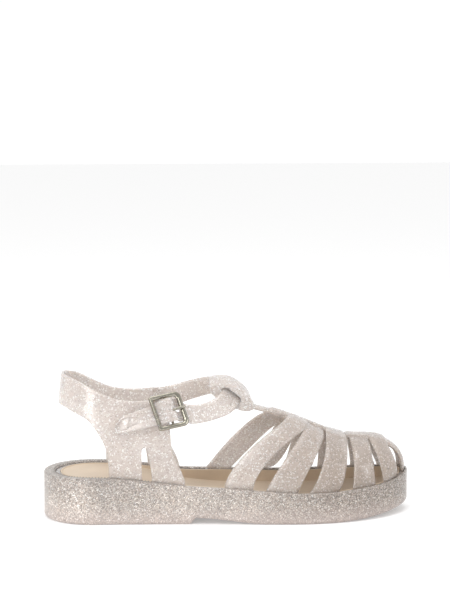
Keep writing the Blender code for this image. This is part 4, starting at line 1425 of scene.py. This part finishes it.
    def keeper(self) -> bpy.types.Object:
        """Make the quarter's tongue with the two knuckles, before they are drilled."""
        last, buckle = self.last, self.buckle
        centre = buckle.axes()[0]
        bore = buckle.hinge_radius + buckle.play
        start = buckle.prong_width / 2 + 2 * last.clearance
        half = start + self.knuckle_length
        edges = []
        for back, deep in self.keeper_root:
            row = [last.rear_point(centre.x - back, Side.OUTER, centre.z + t * half) for t in (1, -1)]
            edges.append([point - Vector((0, deep * self.wall, 0)) for point in row])
        seat = bore + self.knuckle_wall / 2 + buckle.hinge_drop
        for back in (self.keeper_seat, 0.0):
            edges.append([buckle.at(-back, t * half, -seat) for t in (1, -1)])
        sections = []
        for i, (upper, lower) in enumerate(edges):
            before, after = edges[max(i - 1, 0)], edges[min(i + 1, len(edges) - 1)]
            run = sum(after, Vector((0, 0, 0))) - sum(before, Vector((0, 0, 0)))
            outward = (lower - upper).normalized().cross(run).normalized() * self.knuckle_wall / 2
            sections.append([upper + outward, lower + outward, lower - outward, upper - outward])
        keeper = sweep("keeper", sections)
        knuckles = []
        for side in (1, -1):
            reach = (side * (start - last.clearance), side * half)
            knuckles.append(buckle.hinge_tube("knuckle", *reach, bore + self.knuckle_wall))
        return combine(keeper, knuckles, "UNION")

    def ring_row(self, row: RingRow) -> tuple[Vector, Vector]:
        """Return the upper and lower edge point of a row of the ankle strap's table."""
        last = self.last
        corners = []
        front = -last.sole_length / 2 + last.quarter_span * self.ring_front
        for x, y, z in ((row.top_x, row.top_y, row.top_z), (row.low_x, row.low_y, row.low_z)):
            height = last.heel_height + z * last.collar_height
            corners.append(Vector((front + x * last.quarter_span, y * last.ankle_width / 2, height)))
        upper, lower = corners
        half = (upper - lower).normalized() * self.strap_width * row.width / 2
        return (upper + lower) / 2 + half, (upper + lower) / 2 - half

    def strap_rows(self) -> list[tuple[Vector, Vector]]:
        """Return the ankle strap's rows as (upper edge, lower edge) from its tip to the inner quarter."""
        last, buckle = self.last, self.buckle
        centre = buckle.axes()[0]
        half = self.strap_width / 2
        knuckle = buckle.hinge_radius + buckle.play + self.knuckle_wall
        over = knuckle + last.clearance + self.strap_wall / 2 - buckle.hinge_drop
        under = buckle.depth / 2 + 2 * last.clearance + self.strap_wall / 2
        rows = []
        for share, width in self.tip_rows:
            x = centre.x - mix(self.tip_length, buckle.length / 2, share)
            z = centre.z - mix(self.tip_fall, self.tip_fall * self.tip_rest, share)
            stand = self.tip_stand * ease(share, 0.1, 0.9)
            gap = self.wall + last.clearance * 2 + self.strap_wall / 2 + stand
            edges = []
            for turn in (1, -1):
                rise = turn * half * width
                spot = last.rear_point(x + rise * self.tip_slant, Side.OUTER, z + rise)
                edges.append(spot - Vector((0, gap, 0)))
            rows.append((edges[0], edges[1]))
        for place, height, width in self.wave:
            offset = mix(-under, over, height)
            upper, lower = [buckle.at(buckle.length * place, turn * half * width, offset) for turn in (1, -1)]
            rows.append((upper, lower))
        return rows + [self.ring_row(row) for row in self.ring_rows]

    def tunnel_edges(self) -> tuple[Vector, Vector]:
        """Return the ankle strap's upper and lower edge in the tunnel."""
        return self.ring_row(self.ring_rows[self.crest])

    def relief(self, step: int) -> Loop:
        """Return the strap's outside section at a step along it, as (across, out, 0) shares.

        Args:
            step: the step along the strap from its tip.

        Returns:
            The section, with the tip's sunk panel and the ribs beside the buckle's hinge.
        """
        place = step / self.steps
        tip_end, wave_end = len(self.tip_rows) - 0.4, len(self.tip_rows) + len(self.wave) - 1
        share = place / tip_end
        swell = max(sin(pi * min(share * 1.04 - 0.02, 1.0)), 0.0) ** 0.45 if share < 1 else 0.0
        leaf = self.panel_width * swell
        ribbed = ease(place, tip_end, tip_end + 1) * (1 - ease(place, wave_end - 1, wave_end))
        section = []
        across_steps = 36
        edge, squareness = 0.36, 9
        for i in range(across_steps + 1):
            across = -1 + 2 * i / across_steps
            out = edge + (1 - edge) * (1 - abs(across) ** squareness) ** 0.5
            within = 1 - ease(abs(across), leaf - self.panel_edge[0], leaf + self.panel_edge[1])
            out -= self.panel_depth * within * ease(leaf, *self.panel_fade)
            inner = 1 - ease(abs(across), *self.rib_edge)
            out += self.rib_height * ribbed * inner * cos(pi * self.ribs * across)
            section.append(Vector((across, out, 0.0)))
        return section

    def ankle_strap(self) -> bpy.types.Object:
        """Make the ankle strap from its free tip through buckle and tunnel to the inner quarter."""
        rows = self.strap_rows()
        uppers = smooth_path([row[0] for row in rows], self.steps)
        lowers = smooth_path([row[1] for row in rows], self.steps)
        sections = []
        end = len(uppers) - 1
        for i, (upper, lower) in enumerate(zip(uppers, lowers)):
            after, before = min(i + 1, end), max(i - 1, 0)
            run = (uppers[after] + lowers[after]) - (uppers[before] + lowers[before])
            across = (lower - upper).normalized()
            outward = across.cross(run).normalized()
            middle = (upper + lower) / 2 - outward * self.strap_wall / 2
            half = (upper - lower).length / 2
            outside = [middle + across * half * p.x + outward * self.strap_wall * p.y for p in self.relief(i)]
            sections.append(outside + [middle + across * half * k for k, _ in STRIP_INSIDE])
        strap = sweep("ankle_strap", sections)
        half_width = self.buckle.prong_width / 2 + 2 * self.last.clearance
        hole = self.buckle.box(self.hole, half_width, self.hole_depth)
        return crisp(combine(strap, [hole], "DIFFERENCE"))

    def build(self) -> bpy.types.Object:
        """Make heel band, quarters and keeper in one moulded piece.

        Returns:
            The rear of the upper without its strap.
        """
        last, buckle = self.last, self.buckle
        reach = buckle.height / 2
        drill = buckle.hinge_tube("bore", -reach, reach, buckle.hinge_radius + buckle.play)
        half_width = buckle.prong_width / 2 + 2 * last.clearance
        slot = buckle.box((-self.slot, self.slot), half_width, self.slot_depth)
        side = self.outline()
        sections = [[Vector((p.x, y, p.y)) for p in side] for y in (-last.ball_width, last.ball_width)]
        quarters = combine(self.rear_wall(), [sweep("side_outline", sections)], "INTERSECT")
        quarters = combine(quarters, [self.keeper()], "UNION")
        quarters = combine(quarters, [drill, slot], "DIFFERENCE")
        quarters.name = "heel_and_quarters"
        return mould(quarters, self.voxel, self.softening)


class Paints(Wiring):
    """Makes a material and wires its nodes around its shader."""

    def __init__(self, name: str) -> None:
        """Make the material and find its shader and the object's own coordinates."""
        self.material = bpy.data.materials.new(name)
        self.material.use_nodes = True
        super().__init__(self.material.node_tree)
        self.shader = self.tree.nodes["Principled BSDF"]
        self.place = self.node("ShaderNodeTexCoord").outputs["Object"]

    def feed(self, source: bpy.types.NodeSocket, name: str) -> None:
        """Link an output to one of the shader's inputs."""
        self.link(source, self.shader.inputs[name])

    def set(self, values: dict[str, object]) -> None:
        """Set constant values on the shader's own inputs, by their names."""
        for name, value in values.items():
            self.shader.inputs[name].default_value = value

    def bump(self, strength: float, distance: float, height: bpy.types.NodeSocket) -> None:
        """Let a value raise the surface by a distance in metres."""
        given = {"Strength": strength, "Distance": distance, "Height": height}
        self.feed(self.node("ShaderNodeBump", inputs=given).outputs[0], "Normal")

    def blend(self, share: object, first: object, second: object, kind: str = "MIX") -> bpy.types.NodeSocket:
        """Mix two colours and return the output."""
        made = self.node("ShaderNodeMix", data_type="RGBA", blend_type=kind)
        for key, value in ((0, share), (6, first), (7, second)):
            if isinstance(value, bpy.types.NodeSocket):
                self.link(value, made.inputs[key])
            else:
                made.inputs[key].default_value = value if key == 0 else (*value, 1.0)
        return made.outputs[2]

    def noise(self, scale: float, detail: float = 2.0) -> bpy.types.NodeSocket:
        """Add noise on the object's own coordinates and return its value."""
        given = {"Vector": self.place, "Scale": scale, "Detail": detail}
        return self.node("ShaderNodeTexNoise", inputs=given).outputs["Fac"]

    def span(self, axis: str, low: float, high: float, top: float = 1.0) -> bpy.types.NodeSocket:
        """Return a value that runs from 0 to the top between two places along one of the object's axes."""
        parts = self.node("ShaderNodeSeparateXYZ", inputs={"Vector": self.place})
        given = {"Value": parts.outputs[axis], "From Min": low, "From Max": high, "To Max": top}
        return self.node("ShaderNodeMapRange", inputs=given).outputs[0]

    def ramp(self, value: bpy.types.NodeSocket, stops: Sequence[Stop]) -> bpy.types.NodeSocket:
        """Add a colour ramp and return its colour.

        Args:
            value: what it reads.
            stops: its places and colours.

        Returns:
            The colour output.
        """
        made = self.node("ShaderNodeValToRGB", inputs={"Fac": value})
        elements = made.color_ramp.elements
        while len(elements) < len(stops):
            elements.new(0.5)
        for element, (place, colour) in zip(elements, stops):
            element.position = place
            element.color = (*colour, 1.0)
        return made.outputs["Color"]

    def mottle(
        self,
        value: bpy.types.NodeSocket,
        colour: Colour,
        dark: tuple[float, float],
        light: tuple[float, float],
    ) -> bpy.types.NodeSocket:
        """Make a colour darker and lighter with a value.

        Args:
            value: what it follows.
            colour: the colour.
            dark: the value at which it is darkest and its share of the colour there.
            light: the same where it is lightest.

        Returns:
            The colour output.
        """
        stops = [(place, tuple(min(share * c, 1.0) for c in colour)) for place, share in (dark, light)]
        return self.ramp(value, stops)

    def flakes(self, size: float, tilt: float) -> tuple[bpy.types.NodeSocket, bpy.types.NodeSocket]:
        """Set flakes in the surface, each a cell with its own colour and its own tilt.

        Args:
            size: the flakes' size in metres.
            tilt: how far they lean out of the surface.

        Returns:
            Two random values between 0 and 1, each the same all over a flake.
        """
        cells = self.node("ShaderNodeTexVoronoi", inputs={"Vector": self.place, "Scale": 1 / size})
        lean = self.node("ShaderNodeVectorMath", operation="SUBTRACT", inputs={0: cells.outputs["Color"]})
        lean.inputs[1].default_value = (0.5, 0.5, 0.5)
        tilted = {0: lean.outputs[0], "Scale": tilt}
        scaled = self.node("ShaderNodeVectorMath", operation="SCALE", inputs=tilted)
        normal = self.node("ShaderNodeNewGeometry").outputs["Normal"]
        added = self.node("ShaderNodeVectorMath", operation="ADD", inputs={0: normal, 1: scaled.outputs[0]})
        level = self.node("ShaderNodeVectorMath", operation="NORMALIZE", inputs={0: added.outputs[0]})
        self.feed(level.outputs[0], "Normal")
        parts = self.node("ShaderNodeSeparateColor", inputs={"Color": cells.outputs["Color"]})
        return parts.outputs[0], parts.outputs[1]


TOE_SHADE_SPAN = (-0.01, 0.07)  # places along the shoe between which painted shade turns the plastics darker towards the toe


@dataclass(frozen=True)
class GlitterPlastic:
    """Plastic packed with silver and champagne flakes."""

    name: str = "glitter plastic"
    flake: float = 0.00058
    tilt: float = 0.50
    shine: float = 0.38
    metal: float = 0.20
    coat: float = 0.25
    coat_shine: float = 0.2
    blush: Colour = (0.60, 0.50, 0.47)
    shadow: Colour = (0.30, 0.31, 0.33)
    toe_shade_tone: Colour = (0.34, 0.31, 0.28)

    def make(self) -> bpy.types.Material:
        """Make the material."""
        paints = Paints(self.name)
        bright, tint = paints.flakes(self.flake, self.tilt)
        # the flakes' own grey tones, with a white top stop that is painted glint: flakes coloured as bright
        # as if they caught the light
        flake_tone_and_painted_glints = paints.ramp(
            bright,
            (
                (0.0, (0.20, 0.18, 0.165)),
                (0.25, (0.33, 0.295, 0.27)),
                (0.60, (0.48, 0.43, 0.395)),
                (0.86, (0.62, 0.565, 0.525)),
                (1.0, (1.0, 0.98, 0.96)),
            ),
        )
        tints = ((0.0, (1.0, 0.93, 0.88)), (0.5, (1.0, 0.98, 0.95)), (1.0, (0.94, 0.97, 1.0)))
        warm = paints.ramp(tint, tints)
        flakes = paints.blend(1.0, flake_tone_and_painted_glints, warm, "MULTIPLY")
        cloud = paints.ramp(paints.noise(38.0, 3.0), ((0.30, (0.84, 0.84, 0.84)), (0.70, (1.06, 1.05, 1.04))))
        clouded = paints.blend(1.0, flakes, cloud, "MULTIPLY")
        low = paints.span("Z", 0.014, 0.0, 0.45)
        high = paints.span("Z", 0.012, 0.030, 0.24)
        # painted shade: the sole turns darker towards the toe
        ahead = paints.span("X", *TOE_SHADE_SPAN, 0.42)
        toned = paints.blend(ahead, clouded, self.toe_shade_tone, "MULTIPLY")
        shaded = paints.blend(high, toned, self.shadow, "MULTIPLY")
        paints.feed(paints.blend(low, shaded, self.blush), "Base Color")
        paints.set(
            {
                "Metallic": self.metal,
                "Roughness": self.shine,
                "Coat Weight": self.coat,
                "Coat Roughness": self.coat_shine,
            }
        )
        return paints.material


@dataclass(frozen=True)
class JellyPlastic:
    """Milky see-through plastic with fine flakes in it."""

    name: str = "jelly plastic"
    flake: float = 0.00070
    tilt: float = 0.22
    milk: Colour = (0.66, 0.595, 0.555)
    toe_shade_tint: Colour = (0.74, 0.70, 0.66)
    clear: float = 0.20
    cover: float = 0.76
    shine: float = 0.18
    bending: float = 1.45
    glow: float = 0.7
    glow_reach: Colour = (1.0, 0.9, 0.8)
    glow_scale: float = 0.003
    coat: float = 0.6
    coat_shine: float = 0.10
    flaked_share: float = 0.45
    flake_cover: float = 0.9

    def make(self) -> bpy.types.Material:
        """Make the material."""
        paints = Paints(self.name)
        bright, chance = paints.flakes(self.flake, self.tilt)
        # the flakes' own tones, with a white top stop that is painted sparkle: flakes coloured as bright as
        # if they caught the light
        flake_tone_and_painted_sparkle = paints.ramp(
            bright,
            (
                (0.0, (0.42, 0.39, 0.365)),
                (0.22, (0.60, 0.545, 0.51)),
                (0.72, (0.70, 0.64, 0.60)),
                (0.88, (1.0, 1.0, 1.0)),
            ),
        )
        cloud = paints.mottle(paints.noise(60.0), self.milk, (0.35, 0.93), (0.65, 1.04))
        seen = paints.math("GREATER_THAN", chance, self.flaked_share)
        flaked = paints.blend(paints.math("MULTIPLY", seen, self.flake_cover), cloud, flake_tone_and_painted_sparkle)
        # painted shade: the jelly turns darker towards the toe
        ahead = paints.span("X", *TOE_SHADE_SPAN)
        paints.feed(paints.blend(ahead, flaked, self.toe_shade_tint, "MULTIPLY"), "Base Color")
        paints.set(
            {
                "Transmission Weight": self.clear,
                "Alpha": self.cover,
                "Roughness": self.shine,
                "IOR": self.bending,
                "Subsurface Weight": self.glow,
                "Subsurface Radius": self.glow_reach,
                "Subsurface Scale": self.glow_scale,
                "Coat Weight": self.coat,
                "Coat Roughness": self.coat_shine,
            }
        )
        return paints.material


@dataclass(frozen=True)
class SoftFoam:
    """Soft matt foam with a fine grain."""

    name: str = "tan foam"
    light: Colour = (0.62, 0.495, 0.365)
    dark: Colour = (0.54, 0.425, 0.31)
    grain_scale: float = 1400.0
    grain_tone: float = 0.18
    shine: float = 0.62
    sheen: float = 0.2

    def make(self) -> bpy.types.Material:
        """Make the material."""
        paints = Paints(self.name)
        cloud = paints.ramp(paints.noise(45.0, 4.0), ((0.3, self.dark), (0.7, self.light)))
        given = {"Vector": paints.place, "Scale": self.grain_scale}
        grain = paints.node("ShaderNodeTexVoronoi", inputs=given).outputs["Distance"]
        toned = paints.math("MULTIPLY", grain, self.grain_tone)
        paints.feed(paints.blend(toned, cloud, self.dark), "Base Color")
        paints.bump(0.25, 0.0002, grain)
        paints.set({"Roughness": self.shine, "Sheen Weight": self.sheen})
        return paints.material


@dataclass(frozen=True)
class CastNickel:
    """Polished champagne nickel with faint hairlines."""

    name: str = "champagne nickel"
    tint: Colour = (0.36, 0.34, 0.285)
    shine: tuple[float, float] = (0.14, 0.24)

    def make(self) -> bpy.types.Material:
        """Make the material."""
        paints = Paints(self.name)
        tone = paints.mottle(paints.noise(420.0, 3.0), self.tint, (0.3, 0.86), (0.7, 1.08))
        paints.feed(tone, "Base Color")
        given = {"Value": paints.noise(160.0, 3.0), "To Min": self.shine[0], "To Max": self.shine[1]}
        paints.feed(paints.node("ShaderNodeMapRange", inputs=given).outputs[0], "Roughness")
        paints.bump(0.02, 0.0001, paints.noise(260.0))
        paints.set({"Metallic": 1.0})
        return paints.material


@dataclass(frozen=True)
class PlainPlastic:
    """Plain plastic of one tone with a slight mottle."""

    name: str
    tone: Colour
    shine: float = 0.5

    def make(self) -> bpy.types.Material:
        """Make the material."""
        paints = Paints(self.name)
        paints.feed(paints.mottle(paints.noise(300.0), self.tone, (0.3, 0.85), (0.7, 1.1)), "Base Color")
        paints.set({"Roughness": self.shine})
        return paints.material


@dataclass(frozen=True)
class Lamp:
    """A soft rectangular light."""

    name: str
    place: tuple[float, float, float]
    size: tuple[float, float]
    power: float


@dataclass
class Studio:
    """The plain white floor, the soft lights and the camera."""

    turn: float = radians(5.0)
    rise: float = radians(11.0)
    distance: float = 1.5
    pixel: float = 0.0006965
    frame_width: int = 450
    frame_height: int = 600
    target: tuple[float, float, float] = (0.0, 0.0, 0.045)
    target_pixel: tuple[float, float] = (227.2, 447.6)
    sensor: float = 36.0
    floor_reach: float = 4.0
    floor_tone: Colour = (0.80, 0.80, 0.80)
    floor_glow: float = 0.26
    room_edge: tuple[float, float] = (-0.5, 0.35)
    room_front: float = 0.66
    room_back: float = 1.02
    lamps: tuple[Lamp, ...] = (
        Lamp("key", (-0.50, -0.80, 0.95), (0.55, 0.55), 5.0),
        Lamp("top", (0.1, 0.0, 1.3), (0.8, 0.8), 5.0),
        Lamp("right", (1.0, -0.5, 0.55), (0.3, 0.7), 2.0),
        Lamp("low left", (-0.72, -1.15, 0.18), (0.34, 0.50), 5.0),
    )

    def floor(self) -> None:
        """Lay the floor."""
        reach = self.floor_reach
        shape = bmesh.new()
        square = ((-reach, -reach), (reach, -reach), (reach, reach), (-reach, reach))
        shape.faces.new([shape.verts.new((x, y, 0.0)) for x, y in square])
        ground = finish_mesh("floor", shape)
        paints = Paints("white floor")
        paints.set(
            {
                "Base Color": (*self.floor_tone, 1.0),
                "Roughness": 0.9,
                "Specular IOR Level": 0.0,
                "Emission Color": (1.0, 1.0, 1.0, 1.0),
                "Emission Strength": self.floor_glow,
            }
        )
        paint(ground, paints.material)

    def lights(self) -> None:
        """Set the white surroundings and the lamps."""
        scene = bpy.context.scene
        world = bpy.data.worlds.new("white room")
        world.use_nodes = True
        make = Wiring(world.node_tree)
        background = world.node_tree.nodes["Background"]
        way = make.node("ShaderNodeTexCoord")
        parts = make.node("ShaderNodeSeparateXYZ", inputs={0: way.outputs["Generated"]})
        given = {
            "Value": parts.outputs["Y"],
            "From Min": self.room_edge[0],
            "From Max": self.room_edge[1],
            "To Min": self.room_front,
            "To Max": self.room_back,
        }
        fade = make.node("ShaderNodeMapRange", inputs=given)
        make.link(fade.outputs[0], background.inputs["Strength"])
        background.inputs["Color"].default_value = (1.0, 1.0, 1.0, 1.0)
        scene.world = world
        middle = Vector(self.target)
        for lamp in self.lamps:
            data = bpy.data.lights.new(lamp.name, "AREA")
            data.shape = "RECTANGLE"
            data.size, data.size_y = lamp.size
            data.energy = lamp.power
            thing = bpy.data.objects.new(lamp.name, data)
            thing.location = lamp.place
            thing.rotation_euler = (middle - Vector(lamp.place)).to_track_quat("-Z", "Y").to_euler()
            scene.collection.objects.link(thing)
        scene.view_settings.view_transform = "Standard"

    def camera(self) -> None:
        """Set the camera at the photograph's angle, turned up so that the sandal lies low in the frame."""
        data = bpy.data.cameras.new("camera")
        data.sensor_width = self.sensor
        data.lens = self.distance / self.pixel * self.sensor / self.frame_height
        thing = bpy.data.objects.new("camera", data)
        ahead = Vector((sin(self.turn) * cos(self.rise), cos(self.turn) * cos(self.rise), -sin(self.rise)))
        thing.location = Vector(self.target) - ahead * self.distance
        focal = self.distance / self.pixel
        right = ahead.cross(Vector((0, 0, 1))).normalized()
        up = right.cross(ahead)
        across = self.target_pixel[0] - self.frame_width / 2
        down = self.target_pixel[1] - self.frame_height / 2
        look = ahead * focal - right * across + up * down
        thing.rotation_euler = look.to_track_quat("-Z", "Y").to_euler()
        bpy.context.scene.collection.objects.link(thing)
        bpy.context.scene.camera = thing

    def set_up(self) -> None:
        """Set up floor, lights and camera."""
        self.floor()
        self.lights()
        self.camera()


def main() -> None:
    """Build and dress the sandal and log each piece's triangle count."""
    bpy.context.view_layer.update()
    last = Last()
    buckle = Buckle(last)
    rear = Rear(last, buckle)
    glitter, jelly = GlitterPlastic().make(), JellyPlastic().make()
    foam, nickel = SoftFoam().make(), CastNickel().make()
    # the studs' dark tone is painted shade, standing for the shade in small notches along the rim's inner
    # edge
    dark = PlainPlastic("rim studs", (0.30, 0.28, 0.26)).make()
    maker = Sole(last)
    sole = maker.build()
    paint(sole, glitter)
    lugs = maker.tread(sole, glitter)
    studs = maker.knurl(dark)
    insole = Insole(last).build()
    paint(insole, foam)
    front = Vamp(last).build(rear.tunnel_edges())
    back, strap = rear.build(), rear.ankle_strap()
    for piece in (front, back, strap):
        paint(piece, jelly)
    cast, pin = buckle.frame(), buckle.prong()
    for piece in (cast, pin):
        paint(piece, nickel)
    dress(sole, "sole")
    dress(lugs)
    dress(studs)
    dress(insole, "insole")
    dress(front, "upper")
    dress(back, "upper")
    dress(strap, "upper")
    dress(cast, "buckle_frame")
    dress(pin, "buckle_prong")
    Studio().set_up()


if __name__ == "__main__":
    main()
